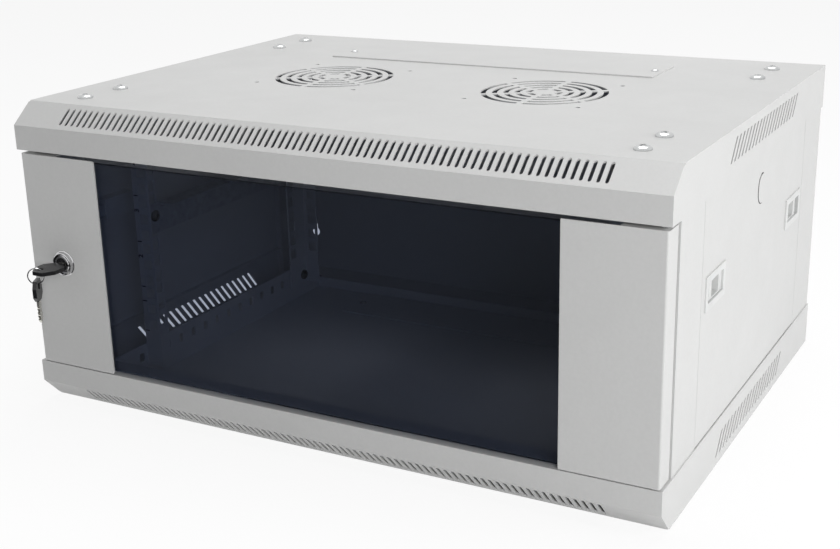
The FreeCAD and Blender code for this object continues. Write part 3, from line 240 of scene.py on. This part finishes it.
def build_metal_group():
    """Fine turning marks and a cloudy plating on small metal pieces."""
    group, start, end = new_group(
        "plated_surface",
        [("Colour", "NodeSocketColor", (0.8, 0.8, 0.8, 1)), ("Marks", "NodeSocketFloat", 900),
         ("Dullness", "NodeSocketFloat", 0.25)],
        [("Colour", "NodeSocketColor"), ("Roughness", "NodeSocketFloat"),
         ("Height", "NodeSocketFloat")])
    place = group.nodes.new("ShaderNodeTexCoord").outputs["Object"]
    cloud = noise(group, place, scale=160.0, detail=3.0)
    shade = spread(group, cloud, low=0.86, high=1.06)
    group.links.new(tinted(group, start.outputs["Colour"], shade), end.inputs["Colour"])
    wear = spread(group, cloud, low=1.3, high=0.7)
    rough = combined(group, "MULTIPLY", start.outputs["Dullness"], wear)
    group.links.new(rough, end.inputs["Roughness"])
    group.links.new(noise(group, place, start.outputs["Marks"]), end.inputs["Height"])
    return group


def build_plastic_group():
    """The fine spark texture of a moulded plastic, with a faint change of gloss."""
    group, start, end = new_group(
        "moulded_surface",
        [("Colour", "NodeSocketColor", (0.5, 0.5, 0.5, 1)), ("Texture", "NodeSocketFloat", 2500)],
        [("Colour", "NodeSocketColor"), ("Gloss mask", "NodeSocketFloat"),
         ("Height", "NodeSocketFloat")])
    place = group.nodes.new("ShaderNodeTexCoord").outputs["Object"]
    cloud = noise(group, place, scale=60.0)
    shade = spread(group, cloud, low=0.95, high=1.04)
    group.links.new(tinted(group, start.outputs["Colour"], shade), end.inputs["Colour"])
    group.links.new(cloud, end.inputs["Gloss mask"])
    texture = noise(group, place, start.outputs["Texture"], detail=1.0)
    group.links.new(texture, end.inputs["Height"])
    return group


def group_named(name):
    builders = {"coat_surface": build_coat_group, "plated_surface": build_metal_group,
                "moulded_surface": build_plastic_group}
    return bpy.data.node_groups.get(name) or builders[name]()


# Finishes
def new_finish(name, group, colour, bump, settings, metallic=0.0, roughness=None):
    """A material with a Principled BSDF whose colour, roughness and bump come from a group."""
    if name in bpy.data.materials:
        return bpy.data.materials[name]
    material = bpy.data.materials.new(name)
    material.use_nodes = True
    nodes, links = material.node_tree.nodes, material.node_tree.links
    shader = nodes["Principled BSDF"]
    shader.inputs["Metallic"].default_value = metallic
    surface = nodes.new("ShaderNodeGroup")
    surface.node_tree = group_named(group)
    surface.inputs["Colour"].default_value = (*colour, 1)
    for label, value in settings.items():
        surface.inputs[label].default_value = value
    links.new(surface.outputs["Colour"], shader.inputs["Base Color"])
    if roughness is None:
        links.new(surface.outputs["Roughness"], shader.inputs["Roughness"])
    else:
        shader.inputs["Roughness"].default_value = roughness
    relief = nodes.new("ShaderNodeBump")
    relief.inputs["Strength"].default_value = bump
    relief.inputs["Distance"].default_value = RELIEF
    links.new(surface.outputs["Height"], relief.inputs["Height"])
    links.new(relief.outputs["Normal"], shader.inputs["Normal"])
    return material


def finish_of():
    return bpy.context.scene.cabinet_finish


def coat_finish():
    look = finish_of()
    return new_finish("powder_coat_grey", "coat_surface", look.coat, bump=0.25,
                      settings={"Grain": 1 / look.coat_grain})


def zinc_finish():
    return new_finish("zinc_plate", "plated_surface", finish_of().zinc, bump=0.1,
                      settings={"Marks": 900.0, "Dullness": 0.26}, metallic=1.0)


def galvanised_finish():
    return new_finish("galvanised_sheet", "plated_surface", (0.5, 0.51, 0.52), bump=0.15,
                      settings={"Marks": 300.0, "Dullness": 0.5}, metallic=0.35)


def chrome_finish():
    return new_finish("polished_chrome", "plated_surface", (0.68, 0.68, 0.69), bump=0.03,
                      settings={"Marks": 1500.0, "Dullness": 0.08}, metallic=1.0)


def nickel_finish():
    return new_finish("nickel_key", "plated_surface", (0.66, 0.65, 0.6), bump=0.15,
                      settings={"Marks": 1200.0, "Dullness": 0.28}, metallic=1.0)


def black_bolt_finish():
    return new_finish("black_oxide", "plated_surface", (0.02, 0.02, 0.022), bump=0.1,
                      settings={"Marks": 900.0, "Dullness": 0.16}, metallic=0.2)


def key_plastic_finish():
    return new_finish("black_key_plastic", "moulded_surface", finish_of().black, bump=0.15,
                      settings={"Texture": 2500.0}, roughness=0.28)


def white_plastic_finish():
    return new_finish("white_latch_plastic", "moulded_surface", finish_of().plastic, bump=0.1,
                      settings={"Texture": 2500.0}, roughness=0.42)


def tape_finish():
    return new_finish("foam_tape_black", "moulded_surface", (0.018, 0.018, 0.02), bump=0.4,
                      settings={"Texture": 1100.0}, roughness=0.85)


# Black print for the unit marks, also used for the painted shade along the knockouts' edges.
def print_and_shade_finish():
    return new_finish("black_print_and_painted_shade", "moulded_surface", (0.01, 0.01, 0.012), bump=0.05,
                      settings={"Texture": 1800.0}, roughness=0.55)


def glass_finish():
    """Grey glass. The light that falls through it goes straight on, dimmed at each face."""
    if "grey_safety_glass" in bpy.data.materials:
        return bpy.data.materials["grey_safety_glass"]
    tint = (*finish_of().glass, 1)
    material = bpy.data.materials.new("grey_safety_glass")
    material.use_nodes = True
    nodes, links = material.node_tree.nodes, material.node_tree.links
    shader = nodes["Principled BSDF"]
    shader.inputs["Base Color"].default_value = tint
    shader.inputs["Metallic"].default_value = 0
    shader.inputs["Transmission Weight"].default_value = 1
    shader.inputs["IOR"].default_value = 1.48
    shader.inputs["Specular Tint"].default_value = (0.3, 0.3, 0.3, 1)
    place = nodes.new("ShaderNodeTexCoord").outputs["Object"]
    haze = noise(material.node_tree, place, scale=9.0, detail=4.0)
    links.new(spread(material.node_tree, haze, low=0.0, high=0.004), shader.inputs["Roughness"])
    clear = nodes.new("ShaderNodeBsdfTransparent")
    clear.inputs["Color"].default_value = tint
    path = nodes.new("ShaderNodeLightPath")
    straight = combined(material.node_tree, "MAXIMUM", path.outputs["Is Shadow Ray"],
                        path.outputs["Is Diffuse Ray"])
    mixed = nodes.new("ShaderNodeMixShader")
    links.new(straight, mixed.inputs[0])
    links.new(shader.outputs["BSDF"], mixed.inputs[1])
    links.new(clear.outputs["BSDF"], mixed.inputs[2])
    links.new(mixed.outputs["Shader"], nodes["Material Output"].inputs["Surface"])
    return material


# Helpers for meshes
def dress(node, material, edge=None, segments=2):
    """Gives a node of the frame its finish, and rounds its sharp edges where asked."""
    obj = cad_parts[node]
    obj.data.materials.clear()
    obj.data.materials.append(material)
    if edge:
        round_edges(obj, edge, segments)


def add_piece(name, mesh, material, body, replaced=()):
    """A new piece that rides on a body of the frame."""
    obj = bpy.data.objects.new(name, mesh)
    bpy.context.scene.collection.objects.link(obj)
    mesh.materials.clear()
    mesh.materials.append(material)
    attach(obj, body)
    if replaced:
        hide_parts(*replaced)
    return obj


def mesh_of(name, bm):
    """Turns a bmesh with all its faces outwards into a mesh."""
    bmesh.ops.recalc_face_normals(bm, faces=bm.faces)
    mesh = bpy.data.meshes.new(name)
    bm.to_mesh(mesh)
    bm.free()
    return mesh


def lathe(name, profile, segments):
    """Turns a profile of (radius, height) points about Z into a closed mesh."""
    bm = bmesh.new()
    points = [bm.verts.new((radius, 0, height)) for radius, height in profile]
    edges = [bm.edges.new(pair) for pair in zip(points, points[1:])]
    bmesh.ops.spin(bm, geom=points + edges, cent=(0, 0, 0), axis=(0, 0, 1),
                   angle=math.tau, steps=segments, use_duplicate=False)
    bmesh.ops.remove_doubles(bm, verts=bm.verts, dist=WELD)
    return mesh_of(name, bm)


def wall(bm, low, high):
    """Joins two rings of points by a band of faces."""
    for index in range(len(low)):
        following = (index + 1) % len(low)
        bm.faces.new((low[index], low[following], high[following], high[index]))


def cross_cutter(name, long, wide, top, bottom):
    """A cross with tapered arms, used to cut a screw's recess."""
    foot_share = 0.55
    bm = bmesh.new()
    for across, along in ((wide, long), (long, wide)):
        corners = []
        for level, share in ((bottom, foot_share), (top, 1.0)):
            x, y = across / 2 * share, along / 2 * share
            corners.append([bm.verts.new(spot) for spot in (
                (-x, -y, level), (x, -y, level), (x, y, level), (-x, y, level))])
        low, high = corners
        bm.faces.new(reversed(low))
        bm.faces.new(high)
        wall(bm, low, high)
    mesh = bpy.data.meshes.new(name)
    bm.to_mesh(mesh)
    bm.free()
    return mesh


def cut_with(mesh, cutter):
    """The mesh with the cutter's shape taken out of it."""
    body = bpy.data.objects.new("uncut", mesh)
    tool = bpy.data.objects.new("cutter", cutter)
    for obj in (body, tool):
        bpy.context.scene.collection.objects.link(obj)
    cut = body.modifiers.new("recess", "BOOLEAN")
    cut.operation = "DIFFERENCE"
    cut.object = tool
    cut.solver = "EXACT"
    cut.use_self = True
    seen = body.evaluated_get(bpy.context.evaluated_depsgraph_get())
    result = bpy.data.meshes.new_from_object(seen)
    for obj in (body, tool):
        bpy.data.objects.remove(obj)
    return result


def pan_screw(name, head, tall, shank, long):
    """A pan head screw that points down from the origin, with a cross recess in its head."""
    detail = bpy.context.scene.cabinet_detail
    neck_share, point_share, rim_share, shoulder_share = 0.8, 0.4, 0.3, 0.98
    arm_share, above_head, dome_steps = 0.27, 1.3, 6
    profile = [(0, -long), (shank * neck_share, -long), (shank, -long + shank * point_share),
               (shank, 0), (head, 0), (head, tall * rim_share)]
    for step in range(1, dome_steps):
        angle = math.radians(90 * step / dome_steps)
        rise = rim_share + (1 - rim_share) * math.sin(angle)
        profile.append((head * math.cos(angle) * shoulder_share, tall * rise))
    profile.append((0, tall))
    solid = lathe(name, profile, segments=28)
    reach = head * 2 * detail.recess_long
    cutter = cross_cutter("cross", reach, reach * arm_share, tall * above_head,
                          tall * (1 - detail.recess_deep))
    return cut_with(solid, cutter)


def block(bm, low, high):
    """Adds a closed block between two corners."""
    verts = [bm.verts.new((x, y, z)) for z in (low[2], high[2])
             for x, y in ((low[0], low[1]), (high[0], low[1]), (high[0], high[1]), (low[0], high[1]))]
    for ring in ((3, 2, 1, 0), (4, 5, 6, 7), (0, 1, 5, 4), (1, 2, 6, 5), (2, 3, 7, 6), (3, 0, 4, 7)):
        bm.faces.new([verts[corner] for corner in ring])


def round_edges(obj, width, segments=2):
    """Rounds the sharp edges of an object, and keeps its flat faces flat."""
    bevel = obj.modifiers.new("rounded_edges", "BEVEL")
    bevel.width = width
    bevel.segments = segments
    bevel.limit_method = "ANGLE"
    bevel.angle_limit = math.radians(40)
    bevel.harden_normals = True


def join_meshes(name, meshes):
    """One mesh made of several."""
    bm = bmesh.new()
    for mesh in meshes:
        bm.from_mesh(mesh)
    joined = bpy.data.meshes.new(name)
    bm.to_mesh(joined)
    bm.free()
    return joined


def smooth(obj, angle=35):
    """Smooth shading up to an angle between faces."""
    with bpy.context.temp_override(object=obj, selected_objects=[obj],
                                   selected_editable_objects=[obj], active_object=obj):
        bpy.ops.object.shade_smooth_by_angle(angle=math.radians(angle))


def facing(place, direction, turn=0.0):
    """A matrix that puts +Z of a mesh along a direction at a place."""
    aim = UP.rotation_difference(Vector(direction)).to_matrix().to_4x4()
    return Matrix.Translation(place) @ aim @ Matrix.Rotation(turn, 4, "Z")


def solid_corners(node):
    """Low and high corner of each separate solid of a node, as the frame has it."""
    bm = bmesh.new()
    bm.from_mesh(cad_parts[node].data)
    bmesh.ops.remove_doubles(bm, verts=bm.verts, dist=WELD)
    left = set(bm.verts)
    found = []
    while left:
        island, waiting = set(), {left.pop()}
        while waiting:
            vert = waiting.pop()
            island.add(vert)
            for link in vert.link_edges:
                other = link.other_vert(vert)
                if other in left:
                    left.discard(other)
                    waiting.add(other)
        low = Vector(map(min, zip(*(vert.co for vert in island))))
        high = Vector(map(max, zip(*(vert.co for vert in island))))
        found.append((low, high))
    bm.free()
    return sorted(found, key=lambda pair: tuple(round(value, 4) for value in pair[0]))


# Operators, one for each piece or group of like pieces
class CABINET_OT_sheet_metal(bpy.types.Operator):
    """Coats the covers, pillars, panels, rails and posts"""
    bl_idname = "cabinet.sheet_metal"
    bl_label = "Coat the sheet metal"

    def execute(self, context):
        edge = finish_of().edge
        coat = coat_finish()
        rounded = ["back_panel", "top_cable_cover", "bottom_cable_cover"]
        for side in ("left", "right"):
            rounded += [f"{side}_front_pillar", f"{side}_side_panel", f"{side}_door_strip",
                        f"{side}_front_post", f"{side}_rear_post", f"{side}_bottom_rail",
                        f"{side}_top_rail"]
        for node in rounded + ["top_cover", "bottom_cover"]:
            dress(node, coat, edge)
        return {"FINISHED"}


class CABINET_OT_cover_screws(bpy.types.Operator):
    """Puts pan head screws with a cross recess in the covers and cable covers"""
    bl_idname = "cabinet.cover_screws"
    bl_label = "Fit the cover screws"

    def execute(self, context):
        turn_between = 1.1
        for node, shank, tall in (("top_cover_screws", 0.0025, 0.0036),
                                  ("bottom_cover_screws", 0.0025, 0.0036),
                                  ("cable_cover_screws", 0.0015, 0.002)):
            screws = []
            for index, (low, high) in enumerate(solid_corners(node)):
                middle = (low + high) / 2
                screw = pan_screw(f"{node}_one", (high.x - low.x) / 2, tall, shank,
                                  high.z - low.z - tall)
                seat = Vector((middle.x, middle.y, high.z - tall))
                screw.transform(facing(seat, UP, index * turn_between))
                screws.append(screw)
            smooth(add_piece(f"{node}_crossed", join_meshes(node, screws), zinc_finish(), "case",
                             [node]))
        return {"FINISHED"}


class CABINET_OT_rack_hardware(bpy.types.Operator):
    """Fits the black bolts, the nuts and the support rails to the posts"""
    bl_idname = "cabinet.rack_hardware"
    bl_label = "Fit the rack hardware"

    def execute(self, context):
        tall, shank, turn_between = 0.0036, 0.003, 0.7
        for node in ("post_bolts", "support_rail_bolts"):
            screws = []
            for index, (low, high) in enumerate(solid_corners(node)):
                side = 1 if high.x > 0 else -1
                inner = low.x if side > 0 else high.x
                middle = (low + high) / 2
                screw = pan_screw(f"{node}_one", (high.z - low.z) / 2, tall, shank,
                                  high.x - low.x - tall)
                seat = Vector((inner + side * tall, middle.y, middle.z))
                screw.transform(facing(seat, (-side, 0, 0), index * turn_between))
                screws.append(screw)
            smooth(add_piece(f"{node}_round", join_meshes(node, screws), black_bolt_finish(),
                             "case", [node]))
        dress("post_nuts", zinc_finish(), edge=0.0003)
        for side in ("left", "right"):
            dress(f"{side}_support_rail", galvanised_finish(), finish_of().edge)
        return {"FINISHED"}


class CABINET_OT_unit_marks(bpy.types.Operator):
    """Prints the unit numbers and boundary lines on the front posts"""
    bl_idname = "cabinet.unit_marks"
    bl_label = "Print the unit marks"

    def execute(self, context):
        detail = context.scene.cabinet_detail
        line_start, line_end, half_line, sunk = 0.0006, 0.0054, 0.0005, 0.0001
        number_in, number_up = 0.003, 0.03
        first = CASE_MIDDLE - RACK_UNIT * detail.units / 2
        for label, side in (("left", -1), ("right", 1)):
            low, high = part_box(f"{label}_front_post")
            face = low[1] - detail.mark_proud
            outer = low[0] if side < 0 else high[0]
            bm = bmesh.new()
            for index in range(detail.units + 1):
                level = first + RACK_UNIT * index
                near, far = sorted((outer - side * line_start, outer - side * line_end))
                block(bm, (near, face, level - half_line), (far, low[1] + sunk, level + half_line))
            for index in range(detail.units):
                level = first + RACK_UNIT * index + number_up
                spot = Vector((outer - side * number_in, low[1], level))
                bm.from_mesh(self.printed_number(context, str(index + 1), spot))
            add_piece(f"{label}_unit_marks", mesh_of(f"{label}_unit_marks", bm), print_and_shade_finish(),
                      "case")
        return {"FINISHED"}

    def printed_number(self, context, digit, spot):
        """A digit on its side, as the posts carry it, printed on a face that looks to the front."""
        detail = context.scene.cabinet_detail
        size_for_height, stroke_growth = 1.4, 0.00018
        curve = bpy.data.curves.new("unit_number", "FONT")
        curve.body = digit
        curve.size = detail.number_tall * size_for_height
        curve.align_x = "CENTER"
        curve.align_y = "CENTER"
        curve.extrude = detail.mark_proud
        curve.offset = stroke_growth
        carrier = bpy.data.objects.new("unit_number", curve)
        context.scene.collection.objects.link(carrier)
        seen = carrier.evaluated_get(context.evaluated_depsgraph_get())
        mesh = bpy.data.meshes.new_from_object(seen)
        upright = Matrix.Rotation(math.radians(90), 4, "X")
        mesh.transform(Matrix.Translation(spot) @ upright @ Matrix.Rotation(
            math.radians(90), 4, "Z"))
        bpy.data.objects.remove(carrier)
        return mesh


class CABINET_OT_glass_door(bpy.types.Operator):
    """Gives the door its tinted glass and the tape that holds it"""
    bl_idname = "cabinet.glass_door"
    bl_label = "Glaze the door"

    def execute(self, context):
        dress("door_glass", glass_finish(), edge=0.0004)
        glass_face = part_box("door_glass")[0][1]
        hem_inside, hem_outside, behind_front, short_of_end = 0.0009, 0.0003, 0.0001, 0.0008
        clear_of_glass = 0.00005
        for side, way in (("left", 1), ("right", -1)):
            dress(f"{side}_glass_tape", tape_finish())
            low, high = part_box(f"{side}_door_strip")
            edge = high[0] if way > 0 else low[0]
            near, far = sorted((edge - way * hem_inside, edge + way * hem_outside))
            bm = bmesh.new()
            block(bm, (near, low[1] + behind_front, low[2] + short_of_end),
                  (far, glass_face - clear_of_glass, high[2] - short_of_end))
            hem = add_piece(f"{side}_strip_hem", mesh_of(f"{side}_strip_hem", bm), coat_finish(),
                            "door")
            round_edges(hem, width=0.0002)
        return {"FINISHED"}


class CABINET_OT_lock_and_keys(bpy.types.Operator):
    """Finishes the lock, its cam, both keys and the ring"""
    bl_idname = "cabinet.lock_and_keys"
    bl_label = "Finish the lock and keys"

    def execute(self, context):
        dress("lock_housing", chrome_finish(), edge=0.0003, segments=3)
        self.fit_rosette(context.scene.cabinet_detail)
        dress("lock_plug", black_bolt_finish(), edge=0.0003)
        for node in ("lock_nut", "lock_cam", "cam_screw"):
            dress(node, zinc_finish(), edge=0.0003)
        for node in ("key_bow", "spare_key_bow"):
            dress(node, key_plastic_finish(), edge=0.0008, segments=3)
        for node in ("key_blade", "spare_key_blade"):
            dress(node, nickel_finish(), edge=0.00015)
        dress("key_ring", chrome_finish())
        return {"FINISHED"}

    def fit_rosette(self, detail):
        """A chrome cone round the lock's head, from the door strip's face to the head's front."""
        low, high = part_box("lock_housing")
        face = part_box("left_door_strip")[0][1]
        seat = Vector(((low[0] + high[0]) / 2, face, (low[2] + high[2]) / 2))
        inner, outer, proud = detail.rosette_inner, detail.rosette_wide / 2, face - low[1]
        off_face, rim, lip, soft, crest = 0.0001, 0.0007, 0.0011, 0.0006, 0.0002
        profile = [(inner, off_face), (outer, off_face), (outer, rim), (outer - soft, lip),
                   (inner + soft, proud - crest), (inner, proud), (inner, off_face)]
        rosette = lathe("lock_rosette", profile, segments=48)
        rosette.transform(facing(seat, (0, -1, 0)))
        fitted = add_piece("lock_rosette", rosette, chrome_finish(), "door")
        smooth(fitted, angle=25)


class CABINET_OT_hinges(bpy.types.Operator):
    """Finishes the hinge pins, the washer and the sprung pin's bracket"""
    bl_idname = "cabinet.hinges"
    bl_label = "Finish the hinges"

    def execute(self, context):
        for node in ("lower_hinge_pin", "upper_hinge_pin", "upper_hinge_bracket", "pin_spring"):
            dress(node, zinc_finish())
        dress("hinge_washer", white_plastic_finish(), edge=0.0002)
        return {"FINISHED"}


class CABINET_OT_latches(bpy.types.Operator):
    """Finishes the white latches of the side panels"""
    bl_idname = "cabinet.latches"
    bl_label = "Finish the latches"

    def execute(self, context):
        for side in ("left", "right"):
            for place in ("front", "rear"):
                dress(f"{side}_{place}_latch_housing", white_plastic_finish(), edge=0.0005,
                      segments=3)
                node = f"{side}_{place}_latch"
                slider = add_piece(f"{node}_scooped", self.scooped_slider(node),
                                   white_plastic_finish(), f"{side}_{place}_slider",
                                   [node])
                round_edges(slider, width=0.0003)
            # Also paints shade along the front half of each side panel's knockout edge.
            self.paint_knockout_shade(side)
        return {"FINISHED"}

    def scooped_slider(self, node):
        """A plate with a finger recess, a little deeper at its bolt end, and the flat bolt."""
        plate_long, scoop_from_end, wall_thick = 0.032, 0.006, 0.0012
        scoop_deep, scoop_shallow, above_face = 0.0072, 0.0058, 0.001
        bolt_thick, half_bolt, bolt_sunk = 0.0025, 0.0055, 0.0005
        low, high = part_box(node)
        way = -1 if "front" in node else 1
        side = 1 if high[0] > 0 else -1
        inner, outer = sorted((low[0], high[0]), key=abs)
        start, tip = (high[1], low[1]) if way < 0 else (low[1], high[1])
        end = start + way * plate_long
        plate = bmesh.new()
        near, far = sorted((start, end))
        block(plate, (low[0], near, low[2]), (high[0], far, high[2]))
        scoop = bmesh.new()
        first = end - way * scoop_from_end
        last = first - way * bpy.context.scene.cabinet_detail.scoop_long
        outline = [(outer + side * above_face, first), (outer - side * scoop_deep, first),
                   (outer - side * scoop_shallow, last), (outer + side * above_face, last)]
        bottom, top = [[scoop.verts.new((x, y, z)) for x, y in outline]
                       for z in (low[2] + wall_thick, high[2] - wall_thick)]
        scoop.faces.new(bottom)
        scoop.faces.new(top)
        wall(scoop, bottom, top)
        cut = cut_with(mesh_of("plate", plate), mesh_of("scoop", scoop))
        bolt = bmesh.new()
        middle = (low[2] + high[2]) / 2
        near, far = sorted((end - way * bolt_sunk, tip))
        thin, thick = sorted((inner, inner + side * bolt_thick))
        block(bolt, (thin, near, middle - half_bolt), (thick, far, middle + half_bolt))
        return join_meshes(f"{node}_scooped", [cut, mesh_of("bolt", bolt)])

    def paint_knockout_shade(self, side):
        """The knockout's cut line in a side panel, drawn dark only along its front half as painted
        shade of the raised edge.
        """
        centre_y, centre_z, half_tall, radius = 0.015, 0.21, 0.002, 0.0105
        edges = (radius + 0.0001, radius + 0.0009)
        depths = (0.0006, 0.00035)
        half_arc, half_steps = 105, 12
        sign = 1 if side == "right" else -1
        low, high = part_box(f"{side}_side_panel")
        face = high[0] if sign > 0 else low[0]
        upper = [(180 - half_arc + half_arc * step / half_steps, half_tall)
                 for step in range(half_steps + 1)]
        lower = [(180 + half_arc * step / half_steps, -half_tall)
                 for step in range(half_steps + 1)]
        bm = bmesh.new()
        rows = []
        for degrees, rise in upper + lower:
            angle = math.radians(degrees)
            spots = [(centre_y + reach * math.cos(angle), centre_z + rise + reach * math.sin(angle))
                     for reach in edges]
            rows.append([bm.verts.new((face - sign * depth, y, z)) for y, z in spots
                         for depth in depths])
        for first, second in zip(rows, rows[1:]):
            for one, other in ((0, 1), (1, 3), (3, 2), (2, 0)):
                bm.faces.new((first[one], first[other], second[other], second[one]))
        for row in (rows[0], rows[-1]):
            bm.faces.new((row[0], row[1], row[3], row[2]))
        # A dark band of painted shade on the knockout's front edge, in the black print finish.
        add_piece(f"{side}_knockout_painted_shade", mesh_of(f"{side}_knockout_painted_shade", bm), print_and_shade_finish(),
                  f"{side}_panel")


class CABINET_OT_stage(bpy.types.Operator):
    """Sets the pale floor, the lamps, the room's light and the camera"""
    bl_idname = "cabinet.stage"
    bl_label = "Set the stage"

    def execute(self, context):
        plan = context.scene.cabinet_stage
        scene = context.scene
        scene.view_settings.view_transform = "Standard"
        self.lay_floor(scene, plan)
        self.lay_card(scene)
        self.light_room(scene, plan)
        middle = Vector((0, 0, CASE_MIDDLE))
        for name, power, size, place in (
            ("key_lamp", plan.key_power, 0.9, (1.5, -1.8, 0.9)),
            ("side_lamp", plan.side_power, 1.2, (2.3, 0.1, 1.0)),
            ("top_lamp", plan.top_power, 1.6, (0.0, 0.4, 2.4)),
        ):
            lamp = bpy.data.lights.new(name, "AREA")
            lamp.energy = power
            lamp.size = size
            holder = bpy.data.objects.new(name, lamp)
            holder.location = place
            # The two low lamps would glare on the roof for a camera on the far side.
            holder.visible_glossy = name == "top_lamp"
            holder.rotation_euler = (middle - Vector(place)).to_track_quat("-Z", "Y").to_euler()
            scene.collection.objects.link(holder)
        self.place_camera(scene, plan)
        return {"FINISHED"}

    def lay_floor(self, scene, plan):
        """A pale disc that shows plain white but for the cabinet's shadow."""
        below, glow_share = 0.0002, 0.9
        bm = bmesh.new()
        bmesh.ops.create_circle(bm, cap_ends=True, radius=14, segments=64)
        mesh = bpy.data.meshes.new("floor")
        bm.to_mesh(mesh)
        bm.free()
        floor = bpy.data.objects.new("floor", mesh)
        scene.collection.objects.link(floor)
        floor.location.z = case_box[0][2] - below
        material = bpy.data.materials.new("pale_floor")
        material.use_nodes = True
        nodes, links = material.node_tree.nodes, material.node_tree.links
        shader = nodes["Principled BSDF"]
        shader.inputs["Base Color"].default_value = (*plan.floor, 1)
        shader.inputs["Roughness"].default_value = 0.9
        glow = nodes.new("ShaderNodeEmission")
        glow.inputs["Strength"].default_value = 1
        share = nodes.new("ShaderNodeMath")
        share.operation = "MULTIPLY"
        share.inputs[1].default_value = glow_share
        links.new(background_rays(material.node_tree), share.inputs[0])
        mixed = nodes.new("ShaderNodeMixShader")
        links.new(share.outputs[0], mixed.inputs[0])
        links.new(shader.outputs["BSDF"], mixed.inputs[1])
        links.new(glow.outputs["Emission"], mixed.inputs[2])
        links.new(mixed.outputs["Shader"], nodes["Material Output"].inputs["Surface"])
        mesh.materials.append(material)

    def lay_card(self, scene):
        """A dark card before the door that only mirrored rays see, to keep the glass clear."""
        bm = bmesh.new()
        bmesh.ops.create_grid(bm, x_segments=1, y_segments=1, size=0.5)
        mesh = mesh_of("dark_card", bm)
        card = bpy.data.objects.new("dark_card", mesh)
        scene.collection.objects.link(card)
        card.location = (-0.45, -1.0, 0.002)
        card.scale = (2.2, 1.4, 1)
        for kind in ("camera", "diffuse", "transmission", "volume_scatter", "shadow"):
            setattr(card, f"visible_{kind}", False)
        material = bpy.data.materials.new("dark_card")
        material.use_nodes = True
        shader = material.node_tree.nodes["Principled BSDF"]
        shader.inputs["Base Color"].default_value = (0.02, 0.02, 0.022, 1)
        shader.inputs["Roughness"].default_value = 0.9
        mesh.materials.append(material)

    def light_room(self, scene, plan):
        """A dim, cool room light, with plain white wherever the background itself is seen."""
        world = bpy.data.worlds.new("white_room")
        world.use_nodes = True
        nodes, links = world.node_tree.nodes, world.node_tree.links
        room = nodes["Background"]
        room.inputs["Color"].default_value = (0.96, 0.98, 1.0, 1)
        room.inputs["Strength"].default_value = plan.room
        white = nodes.new("ShaderNodeBackground")
        white.inputs["Color"].default_value = (1, 1, 1, 1)
        mixed = nodes.new("ShaderNodeMixShader")
        links.new(background_rays(world.node_tree), mixed.inputs[0])
        links.new(room.outputs["Background"], mixed.inputs[1])
        links.new(white.outputs["Background"], mixed.inputs[2])
        links.new(mixed.outputs["Shader"], nodes["World Output"].inputs["Surface"])
        scene.world = world

    def place_camera(self, scene, plan):
        """The camera that sees the cabinet as the photo does."""
        swing, rise = plan.azimuth, plan.elevation
        back = Vector((math.sin(swing) * math.cos(rise), -math.cos(swing) * math.cos(rise),
                       math.sin(rise)))
        right = (-back).cross(UP).normalized()
        above = right.cross(-back)
        tilted = right * math.cos(plan.roll) + above * math.sin(plan.roll)
        above = above * math.cos(plan.roll) - right * math.sin(plan.roll)
        view = bpy.data.cameras.new("photo_view")
        view.lens = plan.lens
        view.sensor_width = 36
        view.clip_end = 60
        camera = bpy.data.objects.new("photo_view", view)
        place = Matrix((tilted, above, back)).transposed().to_4x4()
        place.translation = Vector(plan.target) + back * plan.distance
        camera.matrix_world = place
        scene.collection.objects.link(camera)
        scene.camera = camera


class CABINET_PT_panel(bpy.types.Panel):
    """Lists the cabinet's steps and their sizes"""
    bl_idname = "CABINET_PT_panel"
    bl_label = "Cabinet"
    bl_space_type = "VIEW_3D"
    bl_region_type = "UI"
    bl_category = "Cabinet"

    def draw(self, context):
        for settings in ("cabinet_finish", "cabinet_detail", "cabinet_stage"):
            group = getattr(context.scene, settings)
            for name in group.__annotations__:
                self.layout.prop(group, name)
        for step in steps:
            self.layout.operator(step.bl_idname)


settings_groups = {"cabinet_finish": CabinetFinish, "cabinet_detail": CabinetDetail,
                   "cabinet_stage": CabinetStage}
steps = (CABINET_OT_stage, CABINET_OT_sheet_metal, CABINET_OT_cover_screws,
         CABINET_OT_rack_hardware, CABINET_OT_unit_marks, CABINET_OT_glass_door,
         CABINET_OT_lock_and_keys, CABINET_OT_hinges, CABINET_OT_latches)


def register():
    for name, group in settings_groups.items():
        bpy.utils.register_class(group)
        setattr(bpy.types.Scene, name, PointerProperty(type=group))
    for step in (*steps, CABINET_PT_panel):
        bpy.utils.register_class(step)


def unregister():
    for step in (*steps, CABINET_PT_panel):
        bpy.utils.unregister_class(step)
    for name, group in settings_groups.items():
        delattr(bpy.types.Scene, name)
        bpy.utils.unregister_class(group)


def main():
    register()
    for step in steps:
        area, name = step.bl_idname.split(".")
        getattr(getattr(bpy.ops, area), name)()


if __name__ == "__main__":
    main()
